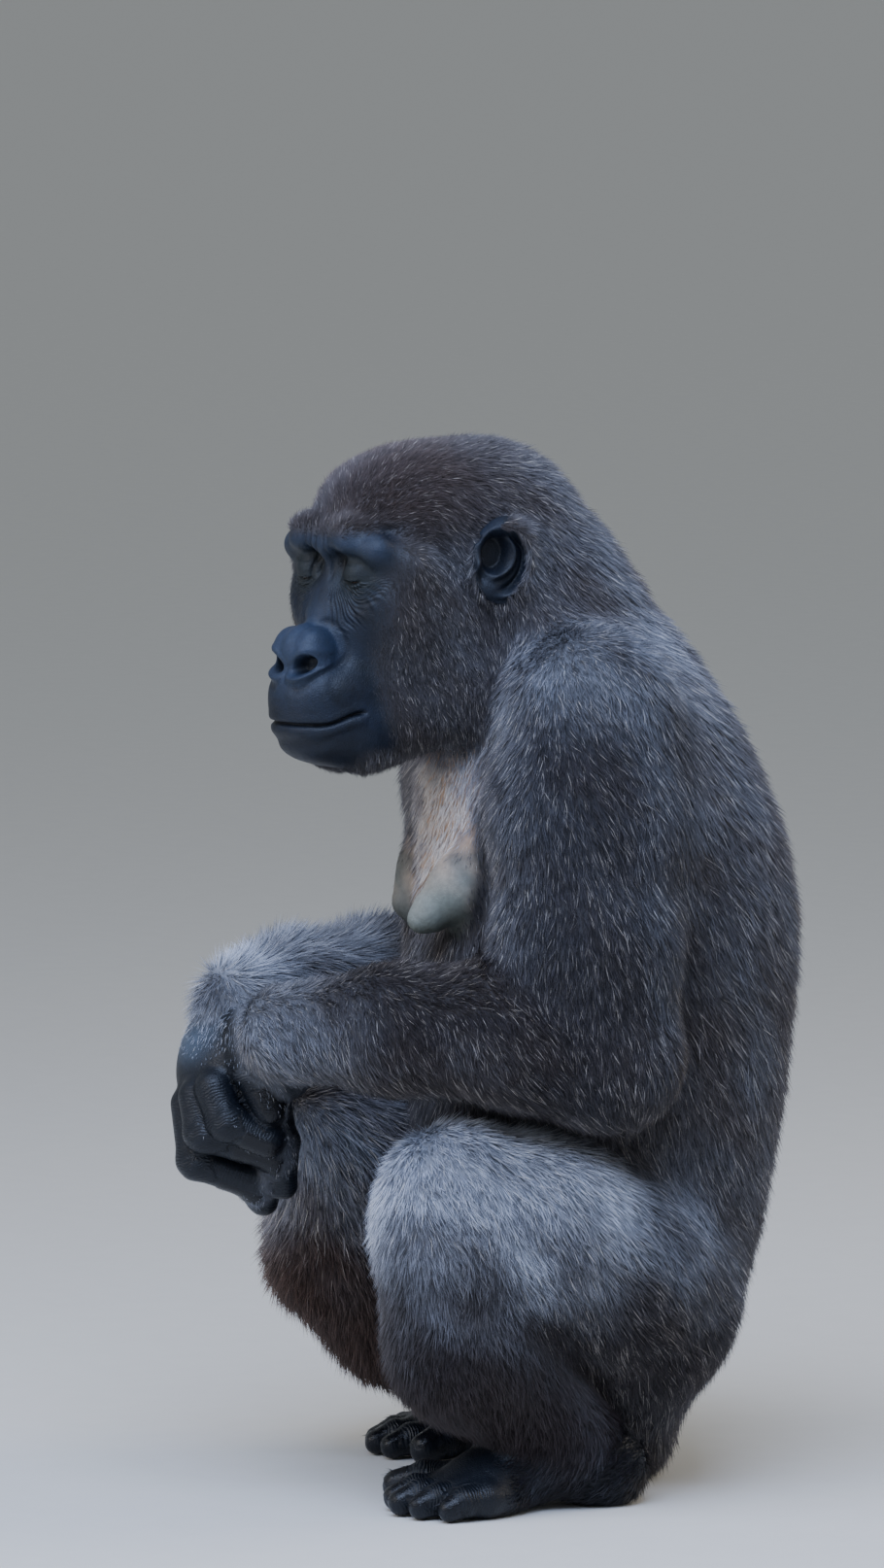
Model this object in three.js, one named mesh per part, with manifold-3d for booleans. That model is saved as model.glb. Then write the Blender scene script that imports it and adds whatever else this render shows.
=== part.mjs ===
// A female western lowland gorilla, life size: she squats with both feet flat, forearms
// laid over the knees, hands hanging in front, and the head turned a little to her left.
// Millimetres, +Z up, -Y the way the body faces, +X her left. The origin is the middle of
// the bounding box on the floor. Each shape is the outline of the coat where she is haired
// and of the bare skin on face, ears, breasts, hands and feet.
import * as THREE from "three";
import Module from "manifold-3d";

const wasm = await Module();
wasm.setup();

// ---- Driving dimensions -------------------------------------------------------------
const GAP = 0.35; // clear space left between two parts that meet
const LAP = 8; // how far a part reaches into its neighbour before it is cut back
const REACH = 30; // the same for a part that is parted from the next by a flat cut
const FLOOR = 0; // soles and rump are flat at this height

const HEAD = { x: 12, y: -79, z: 783, yaw: 20 }; // turned to her left, in degrees
const EYE = { forward: 92, apart: 31, up: -2, radius: 12 };
const EAR = { forward: -9, out: 92, up: 8, tall: 36, wide: 27, thick: 10, lean: 12, flare: 17, cup: 0.75 };
const COAT = { crown: 15, cheek: 11 }; // depth of the coat over the head

const SHOULDER = { out: 160, y: 20, z: 668, radius: 75 };

// ---- Fields: signed distance in mm, below zero inside --------------------------------
const smoothMin = (a, b, k) => {
  const h = Math.max(k - Math.abs(a - b), 0) / k;
  return Math.min(a, b) - h * h * k * 0.25;
};
const smoothCut = (a, b, k) => -smoothMin(-a, b, k); // a with b taken out of it

// Tapered capsule from one [x, y, z, radius] station to the next.
function bone([ax, ay, az, ar], [bx, by, bz, br]) {
  const dx = bx - ax, dy = by - ay, dz = bz - az;
  const length2 = dx * dx + dy * dy + dz * dz;
  return (x, y, z) => {
    const along = ((x - ax) * dx + (y - ay) * dy + (z - az) * dz) / length2;
    const t = Math.min(1, Math.max(0, along));
    return Math.hypot(x - ax - t * dx, y - ay - t * dy, z - az - t * dz) - ar - t * (br - ar);
  };
}

// Several stations in a row, rounded where the line bends.
function chain(stations, k = 14) {
  const bones = stations.slice(1).map((s, i) => bone(stations[i], s));
  return (x, y, z) => bones.reduce((d, f) => smoothMin(d, f(x, y, z), k), 1e3);
}

// Ellipsoid with its own turn, given as degrees about X, Y and Z.
function egg([cx, cy, cz], [a, b, c], turn = [0, 0, 0]) {
  const euler = new THREE.Euler(...turn.map(THREE.MathUtils.degToRad));
  const m = new THREE.Matrix3().setFromMatrix4(new THREE.Matrix4().makeRotationFromEuler(euler));
  const e = m.transpose().elements;
  return (x, y, z) => {
    const px = x - cx, py = y - cy, pz = z - cz;
    const u = (e[0] * px + e[3] * py + e[6] * pz) / a;
    const v = (e[1] * px + e[4] * py + e[7] * pz) / b;
    const w = (e[2] * px + e[5] * py + e[8] * pz) / c;
    const near = Math.hypot(u, v, w);
    return (near * (near - 1)) / Math.max(Math.hypot(u / a, v / b, w / c), 1e-6);
  };
}

// Block with rounded edges; the higher the power the squarer it is.
function pillow([cx, cy, cz], [a, b, c], power) {
  return (x, y, z) => {
    const [px, py, pz] = [x - cx, y - cy, z - cz];
    const sum = Math.abs(px / a) ** power + Math.abs(py / b) ** power + Math.abs(pz / c) ** power;
    const near = sum ** (1 / power);
    return near < 1e-3 ? -Math.min(a, b, c) : Math.hypot(px, py, pz) * (1 - 1 / near);
  };
}

const blend = (k, ...fields) => (x, y, z) =>
  fields.reduce((d, f) => smoothMin(d, f(x, y, z), k), 1e3);

// Oval sections stacked in height, each row [z, middle y, half width, half depth].
function stack(rows, power = 2.2) {
  const curve = (column) => {
    const points = rows.map((r) => new THREE.Vector2(r[0], r[column]));
    return (z) => {
      const i = Math.max(0, Math.min(rows.length - 2, rows.findIndex((r) => r[0] > z) - 1));
      const j = z >= rows.at(-1)[0] ? rows.length - 2 : i;
      const [p, q] = [points[j], points[j + 1]];
      const t = Math.min(1, Math.max(0, (z - p.x) / (q.x - p.x)));
      const before = points[Math.max(0, j - 1)], after = points[Math.min(rows.length - 1, j + 2)];
      const m0 = ((q.y - before.y) / (q.x - before.x)) * (q.x - p.x);
      const m1 = ((after.y - p.y) / (after.x - p.x)) * (q.x - p.x);
      const [t2, t3] = [t * t, t * t * t];
      const onChord = (2 * t3 - 3 * t2 + 1) * p.y + (3 * t2 - 2 * t3) * q.y;
      return onChord + (t3 - 2 * t2 + t) * m0 + (t3 - t2) * m1;
    };
  };
  const [middle, width, depth] = [curve(1), curve(2), curve(3)];
  return (x, y, z) => {
    const py = y - middle(z), reach = Math.hypot(x, py);
    const oval = ((Math.abs(x) / width(z)) ** power + (Math.abs(py) / depth(z)) ** power) ** (1 / power);
    const wall = reach < 1 ? -depth(z) : reach * (1 - 1 / oval);
    return Math.max(wall, z - rows.at(-1)[0], rows[0][0] - z);
  };
}

// ---- The head, in its own frame: forward, her left, up from eye level -----------------
const both = (field) => (f, l, u) => Math.min(field(f, l, u), field(f, -l, u));
const skull = blend(
  22,
  pillow([-12, 0, 6], [107, 69, 83], 2.2), // braincase
  both(egg([64, 45, -26], [35, 26, 37])), // cheekbones
  egg([62, 0, -52], [56, 50, 62]), // upper jaw
  both(egg([16, 44, -58], [52, 30, 74])), // chewing muscles
  egg([34, 0, 36], [46, 52, 33]), // forehead
  both(bone([78, 20, -135, 30], [4, 42, -110, 34])), // lower jaw
);
const muzzle = blend(
  12,
  pillow([92, 0, -108], [61, 46, 38], 2.4), // upper lip
  pillow([86, 0, -134], [61, 43, 31], 2.4), // chin
);
const brow = both(chain([[100, 0, 21, 12], [102, 28, 23, 12], [90, 50, 17, 12], [64, 66, 4, 12]], 8));
const nose = blend(
  8,
  bone([87, 0, 2, 11], [103, 0, -42, 13.5]), // bridge
  egg([124, 0, -66], [24, 17, 22]), // tip
  both(egg([127, 14.5, -70], [20, 14, 23])), // wings
  both(egg([133, 13, -88], [14, 13, 12])), // rims under the nostrils
);
const socket = egg([EYE.forward + 24, EYE.apart, EYE.up], [20, 18, 12]);
const nostril = egg([147, 17, -76], [12, 9, 7]);
const bareHead = (f, l, u) => {
  const side = Math.abs(l);
  let d = smoothMin(skull(f, l, u), muzzle(f, l, u), 20);
  d = smoothMin(smoothMin(d, brow(f, l, u), 16), nose(f, l, u), 9);
  d = smoothCut(d, socket(f, side, u), 10);
  d = smoothCut(d, nostril(f, side, u), 4);
  const lips = Math.abs(u + 130 - 0.004 * l * l) - 1.5;
  return smoothCut(d, Math.max(lips, 90 - f, -d - 5), 3);
};
const step = (from, to, x) => THREE.MathUtils.smoothstep(x, from, to);
// 0 on the bare face, 1 where the head is haired.
const haired = (f, l, u) => Math.max(1 - step(56, 90, f), step(22, 56, u));
const turn = THREE.MathUtils.degToRad(HEAD.yaw);
const intoHead = (x, y, z) => {
  const [px, py] = [x - HEAD.x, y - HEAD.y];
  return [px * Math.sin(turn) - py * Math.cos(turn), px * Math.cos(turn) + py * Math.sin(turn), z - HEAD.z];
};
const fromHead = (f, l, u) => [
  HEAD.x + f * Math.sin(turn) + l * Math.cos(turn),
  HEAD.y - f * Math.cos(turn) + l * Math.sin(turn),
  HEAD.z + u,
];
const head = (x, y, z) => {
  const [f, l, u] = intoHead(x, y, z);
  const depth = THREE.MathUtils.lerp(COAT.cheek, COAT.crown, step(-20, 60, u));
  return bareHead(f, l, u) - depth * haired(f, l, u);
};

// ---- Trunk, neck and breasts ----------------------------------------------------------
const torso = stack([
  [-30, 80, 40, 34], [12, 80, 80, 62], [62, 70, 118, 88], [103, 69, 146, 109], [185, 74, 168, 137],
  [268, 80, 178, 150], [350, 82, 188, 160], [474, 85, 200, 165], [557, 80, 196, 155],
  [598, 72, 188, 147], [639, 66, 174, 134], [680, 62, 150, 112], [720, 56, 116, 84], [752, 48, 78, 56],
]);
const neck = chain([[6, -14, 798, 82], [4, 14, 736, 94], [0, 46, 664, 108]], 30);
const breasts = {
  left: [[80, -32, 552, 28], [66, -64, 514, 26], [56, -94, 487, 13]],
  right: [[-72, -18, 552, 28], [-63, -46, 512, 26], [-57, -67, 489, 13]],
};

// ---- Limbs: stations [x, y, z, radius] down each one ----------------------------------
const { out, y: shoulderY, z: shoulderZ, radius } = SHOULDER;
const ELBOW = { left: [202, 14, 386, 66], right: [-196, 30, 396, 60] };
const WRIST = { left: [60, -216, 398, 42], right: [-30, -228, 414, 38] };
const KNEE = { left: [150, -96, 260, 76], right: [-150, -76, 246, 86] };
const KNEECAP = [-118, -118, 288, 52]; // of the right leg, where the forearm lies on it
const ANKLE = { left: [142, 0, 62, 46], right: [-140, 84, 60, 46] };

const limbs = {
  upper_arm_left: [[out, shoulderY, shoulderZ, radius], [180, 4, 580, 79], [193, 0, 480, 80], ELBOW.left],
  upper_arm_right: [[-out, 40, shoulderZ, 70], [-178, 50, 580, 70], [-188, 46, 480, 68], ELBOW.right],
  forearm_left: [ELBOW.left, [182, -52, 406, 68], [122, -142, 404, 57], WRIST.left],
  forearm_right: [ELBOW.right, [-150, -62, 406, 58], [-85, -160, 412, 52], WRIST.right],
  thigh_left: [KNEE.left, [154, -20, 232, 84], [138, 42, 200, 88], [104, 80, 160, 88]],
  thigh_right: [KNEECAP, KNEE.right, [-154, -20, 240, 86], [-138, 42, 196, 88], [-104, 80, 160, 88]],
  shin_left: [[150, -96, 218, 76], [148, -88, 140, 70], ANKLE.left],
  shin_right: [[-150, -98, 178, 68], [-147, -44, 122, 62], ANKLE.right],
};

// A foot: heel, instep and the ball across the toes, with the sole cut flat at the floor.
function footOf([ax, ay], side) {
  const splay = 8 * side;
  return blend(
    22,
    egg([ax, ay + 34, 30], [34, 38, 38]),
    bone([ax, ay - 4, 44, 36], [ax + splay * 0.6, ay - 68, 26, 30]),
    egg([ax + splay, ay - 84, 16], [46, 40, 24]),
  );
}
// Toes from the great toe, which stands off towards the middle, to the little one:
// [out from the ankle, behind the ball, pointing out per mm forward, length, radius].
const TOES = {
  great: [-36, 26, -0.5, 52, 15],
  second: [-20, 2, -0.08, 44, 12],
  third: [1, -3, 0.02, 44, 12],
  fourth: [21, 2, 0.1, 40, 11.5],
  little: [39, 14, 0.2, 34, 11],
};
function toeOf([ax, ay], side, [across, back, lean, length, r]) {
  const root = [ax + side * (across + 4), ay - 100 + back, r + 5, r + 3];
  const knuckle = [root[0] + side * lean * length * 0.6, root[1] - length * 0.6, r + 5, r];
  const tip = [root[0] + side * lean * length, root[1] - length, r - 1, r - 1.5];
  return [root, knuckle, tip];
}

// Hands. The right one hangs half closed, the left one is bent in behind it.
const PALMS = {
  left: { centre: [22, -214, 378], size: [48, 20, 40], turn: [10, 28, 12] },
  right: { centre: [-20, -253, 374], size: [42, 19, 50], turn: [-22, 0, 14] },
};
const DIGITS = {
  thumb_right: [[12, -240, 396, 17], [24, -236, 360, 14], [36, -224, 328, 12.5]],
  index_right: [[10, -263, 346, 17], [22, -257, 320, 16], [34, -224, 304, 14]],
  middle_right: [[-8, -271, 338, 17], [2, -269, 309, 17], [18, -216, 292, 14.5]],
  ring_right: [[-28, -272, 329, 16], [-18, -269, 283, 16.5], [-4, -224, 264, 14]],
  little_right: [[-47, -266, 322, 14], [-42, -258, 282, 14], [-32, -212, 262, 12]],
  thumb_left: [[30, -214, 412, 15], [-6, -206, 410, 13], [-34, -202, 396, 12]],
  index_left: [[-12, -212, 384, 16], [-52, -210, 358, 15], [-62, -210, 308, 13]],
  middle_left: [[-10, -212, 362, 16], [-38, -208, 318, 15], [-38, -208, 262, 13]],
  ring_left: [[0, -212, 346, 15], [-12, -208, 296, 14.5], [-12, -212, 246, 12.5]],
  little_left: [[16, -212, 338, 14], [12, -204, 300, 13], [12, -202, 262, 11.5]],
};

// ---- Surfaces ----------------------------------------------------------------------------
const STRIDE = 3; // how far a ray walks between looks at the field
const FARTHEST = 400; // and where it gives up
const HALVINGS = 14; // after which the crossing is known to a few microns
const NEAREST = 0.4; // a ray ends no nearer to the spine than this

// A closed skin found by walking out of a spine: rings of rays square to it, and rays that
// fan round its two ends. ref fixes where the first ray of each ring points.
function skinOf(field, spine, { rings, sides, domes = 3, ref = [0, 0, 1], front = 0 }) {
  const knots = spine.map(([x, y, z]) => new THREE.Vector3(x, y, z));
  const curve = new THREE.CatmullRomCurve3(knots, false, "centripetal");
  const rays = [];
  const reference = new THREE.Vector3(...ref);
  const ringAt = (t, tilt) => {
    const [origin, along] = [curve.getPointAt(t), curve.getTangentAt(t)];
    const across = reference.clone().cross(along).normalize();
    const over = along.clone().cross(across);
    return Array.from({ length: sides }, (_, j) => {
      const even = (2 * Math.PI * j) / sides;
      const a = even - front * Math.sin(even); // packs rays towards the first one
      const out = over.clone().multiplyScalar(Math.cos(a)).addScaledVector(across, Math.sin(a));
      return { origin, out: out.multiplyScalar(Math.cos(tilt)).addScaledVector(along, Math.sin(tilt)) };
    });
  };
  for (let i = domes - 1; i > 0; i--) rays.push(ringAt(0, (-Math.PI / 2) * (i / domes)));
  for (let i = 0; i < rings; i++) rays.push(ringAt(i / (rings - 1), 0));
  for (let i = 1; i < domes; i++) rays.push(ringAt(1, (Math.PI / 2) * (i / domes)));
  const reach = ({ origin, out: d }) => {
    const at = (r) => field(origin.x + d.x * r, origin.y + d.y * r, origin.z + d.z * r);
    let [near, far] = [0, STRIDE];
    while (at(far) < 0 && far < FARTHEST) [near, far] = [far, far + STRIDE];
    for (let n = 0; n < HALVINGS; n++) {
      const middle = (near + far) / 2;
      if (at(middle) < 0) near = middle;
      else far = middle;
    }
    return origin.clone().addScaledVector(d, Math.max(near, NEAREST));
  };
  const ends = [0, 1].map((t) => {
    return { origin: curve.getPointAt(t), out: curve.getTangentAt(t).multiplyScalar(t ? 1 : -1) };
  });
  const points = [reach(ends[0]), ...rays.flat().map(reach), reach(ends[1])];
  const index = [];
  const at = (i, j) => 1 + i * sides + (j % sides);
  for (let j = 0; j < sides; j++) {
    index.push(0, at(0, j + 1), at(0, j));
    for (let i = 0; i < rays.length - 1; i++) {
      index.push(at(i, j), at(i, j + 1), at(i + 1, j + 1), at(i, j), at(i + 1, j + 1), at(i + 1, j));
    }
    index.push(points.length - 1, at(rays.length - 1, j), at(rays.length - 1, j + 1));
  }
  return new THREE.BufferGeometry().setFromPoints(points).setIndex(index);
}

function manifoldOf(geometry) {
  const vertProperties = new Float32Array(geometry.getAttribute("position").array);
  const closed = (index) => {
    const triVerts = new Uint32Array(index);
    return new wasm.Manifold(new wasm.Mesh({ numProp: 3, vertProperties, triVerts }));
  };
  const solid = closed(geometry.index.array);
  return solid.volume() > 0 ? solid : closed(geometry.index.array.slice().reverse());
}

function geometryOf(solid) {
  const mesh = solid.getMesh();
  const geometry = new THREE.BufferGeometry();
  geometry.setAttribute("position", new THREE.BufferAttribute(new Float32Array(mesh.vertProperties), 3));
  geometry.setIndex(new THREE.BufferAttribute(new Uint32Array(mesh.triVerts), 1));
  geometry.computeVertexNormals();
  return geometry;
}

// ---- Parts: own shape, the neighbours it runs into, and how it is skinned ----------------
const parts = new Map();
function part(name, material, own, joins, k, spine, grid, keep) {
  parts.set(name, { name, material, own, joins, k, spine, grid, keep });
}
const WAIST = 236; // pelvis below, trunk above
const BLOCK = 1600; // side of the blocks that cut her, larger than she is

// A big block whose one face is the plane through a point; it holds the side the arrow leaves.
function halfSpace(point, arrow, grow = 0) {
  const away = new THREE.Vector3(...arrow).normalize();
  const box = new THREE.BoxGeometry(BLOCK, BLOCK, BLOCK).translate(0, 0, -BLOCK / 2 - GAP / 2 + grow);
  const quaternion = new THREE.Quaternion().setFromUnitVectors(new THREE.Vector3(0, 0, 1), away);
  return merged(box.applyQuaternion(quaternion).translate(...point));
}
const waist = [[0, 0, WAIST], [0, 0, 1]];
const headway = (f, l, u) => fromHead(f, l, u).map((c, i) => c - fromHead(0, 0, 0)[i]);
const nape = [fromHead(-60, 0, -10), headway(-1, 0, -0.33)];
const joints = { waist, nape };
for (const side of ["left", "right"]) {
  const toward = (from, to) => {
    const [start, end] = [from, to].map(([x, y, z]) => new THREE.Vector3(x, y, z));
    return end.sub(start).normalize();
  };
  const bend = (a, b, c) => toward(a, b).add(toward(b, c)).toArray();
  const [elbow, wrist, knee, ankle] = [ELBOW, WRIST, KNEE, ANKLE].map((joint) => joint[side]);
  joints[`elbow_${side}`] = [elbow, bend(limbs[`upper_arm_${side}`][0], elbow, wrist)];
  joints[`knee_${side}`] = [knee, bend(limbs[`thigh_${side}`].at(-1), knee, ankle)];
  joints[`ankle_${side}`] = [[ankle[0], ankle[1], 44], [0, 0, -1]];
  joints[`wrist_${side}`] = [wrist, bend(elbow, wrist, PALMS[side].centre)];
}
const torsoGrid = { rings: 13, sides: 20, domes: 3, ref: [0, -1, 0] };
const torsoSpine = [[0, 74, 60], [0, 82, 420], [0, 60, 660]];
const torsoJoins = ["upper_arm_left", "upper_arm_right", "neck", "thigh_left", "thigh_right"];
part("trunk", "coat", torso, torsoJoins, 42, torsoSpine, torsoGrid, { waist: -1 });
part("pelvis", "coat", torso, torsoJoins, 42, torsoSpine, torsoGrid, { waist: 1 });
part("head", "face", head, ["neck"], 30,
  [fromHead(6, 0, 40), fromHead(52, 0, -104)],
  { lap: REACH, rings: 14, sides: 30, domes: 4, ref: headway(1, 0, 0), front: 0.35 },
  { nape: 1 });
part("neck", "coat", neck, ["trunk", "head"], 40, [[4, -4, 790], [2, 36, 706]],
  { lap: REACH, rings: 4, sides: 13, domes: 3, ref: [0, -1, 0] }, { nape: -1 });
for (const side of ["left", "right"]) {
  part(`breast_${side}`, "breast", chain(breasts[side], 16), ["trunk"], 18, breasts[side].slice(0, 2),
    { rings: 3, sides: 10, domes: 2, ref: [1, 0, 0] });
}
const NEXT = {
  upper_arm: ["trunk", "forearm"],
  forearm: ["upper_arm", "hand"],
  thigh: ["pelvis", "shin"],
  shin: ["thigh", "foot"],
};
const JOINTED = { // joints that end each part, and on which side of their planes it lies
  upper_arm: [["elbow", 1]],
  forearm: [["elbow", -1], ["wrist", 1]],
  hand: [["wrist", -1]],
  thigh: [["knee", 1]],
  shin: [["knee", -1], ["ankle", 1]],
  foot: [["ankle", -1]],
};
function kept(kind, side) {
  return Object.fromEntries(JOINTED[kind].map(([joint, sign]) => [`${joint}_${side}`, sign]));
}
const GRID = { upper_arm: [6, 12], forearm: [6, 10], thigh: [6, 11], shin: [5, 10] };
for (const kind of ["upper_arm", "forearm", "thigh", "shin"]) {
  for (const side of ["left", "right"]) {
    const stations = limbs[`${kind}_${side}`];
    const joins = NEXT[kind].map((n) => (n === "trunk" || n === "pelvis" ? n : `${n}_${side}`));
    const spine = [0.12, 0.88].map((t) => stations[0].map((c, i) => c + t * (stations.at(-1)[i] - c)));
    const [rings, sides] = GRID[kind];
    const grid = { lap: REACH, rings, sides, ref: [0, 0.3, kind === "forearm" ? 1 : -0.2] };
    const k = kind === "thigh" ? 34 : 28;
    part(`${kind}_${side}`, "coat", chain(stations, 24), joins, k, spine, grid, kept(kind, side));
  }
}
for (const side of ["left", "right"]) {
  const sign = side === "left" ? 1 : -1;
  const ankle = ANKLE[side];
  const sole = [[ankle[0], ankle[1] + 34, 28], [ankle[0] + sign * 5, ankle[1] - 84, 18]];
  part(`foot_${side}`, "skin", footOf(ankle, sign), [`shin_${side}`], 20, sole,
    { lap: REACH, rings: 6, sides: 10, ref: [0, 0, 1] }, kept("foot", side));
  const { centre, size, turn: euler } = PALMS[side];
  const long = side === "left" ? [-22, 2, -12] : [4, -12, -32];
  const palm = [-0.7, 0.7].map((t) => centre.map((c, i) => c + t * long[i]));
  part(`hand_${side}`, "skin", egg(centre, size, euler), [`forearm_${side}`], 24, palm,
    { lap: REACH, rings: 4, sides: 10, ref: [0, -1, 0.2] }, kept("hand", side));
}
for (const [name, stations] of Object.entries(DIGITS)) {
  const side = name.split("_")[1];
  part(name, "skin", chain(stations, 6), [`hand_${side}`], 6, stations,
    { rings: 4, sides: 6, domes: 2, ref: [0.9, 0.1, 0.4] });
}
for (const side of ["left", "right"]) {
  for (const [toe, sizes] of Object.entries(TOES)) {
    const stations = toeOf(ANKLE[side], side === "left" ? 1 : -1, sizes);
    part(`toe_${toe}_${side}`, "skin", chain(stations, 6), [`foot_${side}`], 6, stations,
      { rings: 3, sides: 5, domes: 2, ref: [0, 0, 1] });
  }
}

// The part's outline: its own shape run into its neighbours', up to where they take over.
function outline({ own, joins, k, grid }, grow) {
  const near = joins.map((n) => parts.get(n)?.own).filter(Boolean);
  return (x, y, z) => {
    const mine = own(x, y, z);
    const theirs = near.map((f) => f(x, y, z));
    const run = theirs.reduce((d, other) => smoothMin(d, other, k), mine);
    return Math.max(run, mine - (grid.lap ?? LAP), FLOOR - z) - grow;
  };
}

// An ear: a leaning oval cup with a raised rim.
function earOf(sign) {
  const oval = (share, shift) => {
    const ball = new THREE.SphereGeometry(share, 11, 7).scale(EAR.thick, EAR.wide, EAR.tall);
    ball.deleteAttribute("uv").deleteAttribute("normal");
    ball.translate(sign * shift, 0, 0).rotateX(THREE.MathUtils.degToRad(-EAR.lean));
    ball.rotateZ(turn - sign * THREE.MathUtils.degToRad(EAR.flare));
    return manifoldOf(merged(ball.translate(...fromHead(EAR.forward, sign * EAR.out, EAR.up))));
  };
  return oval(1, 0).subtract(oval(EAR.cup, EAR.thick));
}

// The same geometry with the points of its seams made one.
function merged(geometry) {
  const seen = new Map(), points = [], to = [];
  const p = geometry.getAttribute("position");
  for (let i = 0; i < p.count; i++) {
    const key = [p.getX(i), p.getY(i), p.getZ(i)].map((c) => c.toFixed(3)).join();
    if (!seen.has(key)) seen.set(key, points.push(new THREE.Vector3().fromBufferAttribute(p, i)) - 1);
    to.push(seen.get(key));
  }
  const index = [];
  for (let i = 0; i < geometry.index.count; i += 3) {
    const face = [0, 1, 2].map((j) => to[geometry.index.getX(i + j)]);
    if (new Set(face).size === 3) index.push(...face);
  }
  return new THREE.BufferGeometry().setFromPoints(points).setIndex(index);
}
function eyeOf(sign, grow = 0) {
  const ball = new THREE.SphereGeometry(EYE.radius + grow, 9, 6);
  return manifoldOf(merged(ball.translate(...fromHead(EYE.forward, sign * EYE.apart, EYE.up))));
}

// ---- Solids, each cut back from those before it ------------------------------------------
const materials = {
  coat: new THREE.MeshStandardMaterial({ color: 0x2e2a2c, roughness: 0.8, metalness: 0 }),
  face: new THREE.MeshStandardMaterial({ color: 0x23262c, roughness: 0.5, metalness: 0 }),
  skin: new THREE.MeshStandardMaterial({ color: 0x1d1e22, roughness: 0.45, metalness: 0 }),
  breast: new THREE.MeshStandardMaterial({ color: 0x5b5c60, roughness: 0.6, metalness: 0 }),
  eye: new THREE.MeshStandardMaterial({ color: 0x2a1a10, roughness: 0.12, metalness: 0 }),
};
const solids = [];
function meets(a, b) {
  const [p, q] = [a.boundingBox(), b.boundingBox()];
  return [0, 1, 2].every((i) => p.min[i] < q.max[i] && q.min[i] < p.max[i]);
}
function place(name, material, solid, grown) {
  let left = solid;
  for (const other of solids) {
    if (meets(left, other.grown)) left = left.subtract(other.grown).subtract(other.solid);
  }
  const whole = left.decompose().sort((a, b) => b.volume() - a.volume())[0];
  solids.push({ name, material, solid: whole, grown });
}
for (const side of [1, -1]) {
  place(`eye_${side > 0 ? "left" : "right"}`, "eye", eyeOf(side), eyeOf(side, GAP));
}
for (const one of parts.values()) {
  const [solid, grown] = [0, GAP].map((grow) => {
    const whole = manifoldOf(skinOf(outline(one, grow), one.spine, one.grid));
    const sides = Object.entries(one.keep ?? {});
    return sides.reduce((solid, [joint, sign]) => {
      const [point, arrow] = joints[joint];
      return solid.intersect(manifoldOf(halfSpace(point, arrow.map((c) => c * sign), grow)));
    }, whole);
  });
  place(one.name, one.material, solid, grown);
}
for (const side of [1, -1]) {
  place(`ear_${side > 0 ? "left" : "right"}`, "skin", earOf(side), earOf(side));
}

// ---- The group, moved so that the origin is the middle of its box on the floor -----------
const figure = new THREE.Group();
for (const { name, material, solid } of solids) {
  const mesh = new THREE.Mesh(geometryOf(solid), materials[material].clone());
  mesh.name = name;
  figure.add(mesh);
}
const box = new THREE.Box3().setFromObject(figure);
figure.position.set(-(box.min.x + box.max.x) / 2, -(box.min.y + box.max.y) / 2, -box.min.z);
const gorilla = new THREE.Group();
gorilla.add(figure);
export default gorilla;
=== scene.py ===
"""The looks of a life-size museum model: a female western lowland gorilla, squatting.

Her flesh is one closed skin. It is meshed from the same rounded bones and ovals as the
solids, drawn in by the depth of the coat, and then gets its folds, lids and nails. The coat
is solid tapered tufts, rooted on that skin and laid the way her hair lies. Shapes are worked
out in millimetres in the maker's frame (+Z up, -Y forward, +X her left) and put into the
meshes in metres.
"""
import logging
import math
from collections.abc import Callable
from dataclasses import dataclass, field
from enum import Enum, IntEnum

import bpy
import numpy as np
from mathutils import Matrix, Vector


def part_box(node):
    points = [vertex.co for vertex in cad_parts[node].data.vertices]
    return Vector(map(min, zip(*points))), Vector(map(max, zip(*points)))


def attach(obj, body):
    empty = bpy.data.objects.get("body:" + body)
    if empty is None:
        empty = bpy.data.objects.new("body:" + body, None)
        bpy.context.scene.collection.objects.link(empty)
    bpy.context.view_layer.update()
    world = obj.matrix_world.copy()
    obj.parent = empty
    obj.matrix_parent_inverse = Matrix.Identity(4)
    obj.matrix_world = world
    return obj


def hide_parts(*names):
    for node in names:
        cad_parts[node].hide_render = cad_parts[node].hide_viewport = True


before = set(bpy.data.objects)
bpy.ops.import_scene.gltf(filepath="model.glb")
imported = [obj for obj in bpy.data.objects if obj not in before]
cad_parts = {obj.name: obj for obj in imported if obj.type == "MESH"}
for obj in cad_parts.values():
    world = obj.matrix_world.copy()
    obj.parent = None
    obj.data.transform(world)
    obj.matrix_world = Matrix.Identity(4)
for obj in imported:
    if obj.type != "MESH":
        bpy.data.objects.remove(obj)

Array = np.ndarray
Tree = bpy.types.NodeTree
Shape = Callable[[Array], Array]
Station = tuple[float, float, float, float]

log = logging.getLogger("gorilla")
MM = 0.001  # one millimetre in metres


class Side(Enum):
    """Her left or right; the value is the sign of X."""

    LEFT = 1
    RIGHT = -1

    @property
    def word(self) -> str:
        """The side's name as the solids spell it."""
        return self.name.lower()


class Zone(IntEnum):
    """Where on the body a root of the coat stands; the order is that of Body.distances."""

    TRUNK = 0
    NECK = 1
    HEAD = 2
    BREAST_LEFT = 3
    BREAST_RIGHT = 4
    UPPER_ARM_LEFT = 5
    FOREARM_LEFT = 6
    HAND_LEFT = 7
    UPPER_ARM_RIGHT = 8
    FOREARM_RIGHT = 9
    HAND_RIGHT = 10
    THIGH_LEFT = 11
    SHIN_LEFT = 12
    FOOT_LEFT = 13
    THIGH_RIGHT = 14
    SHIN_RIGHT = 15
    FOOT_RIGHT = 16


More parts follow.
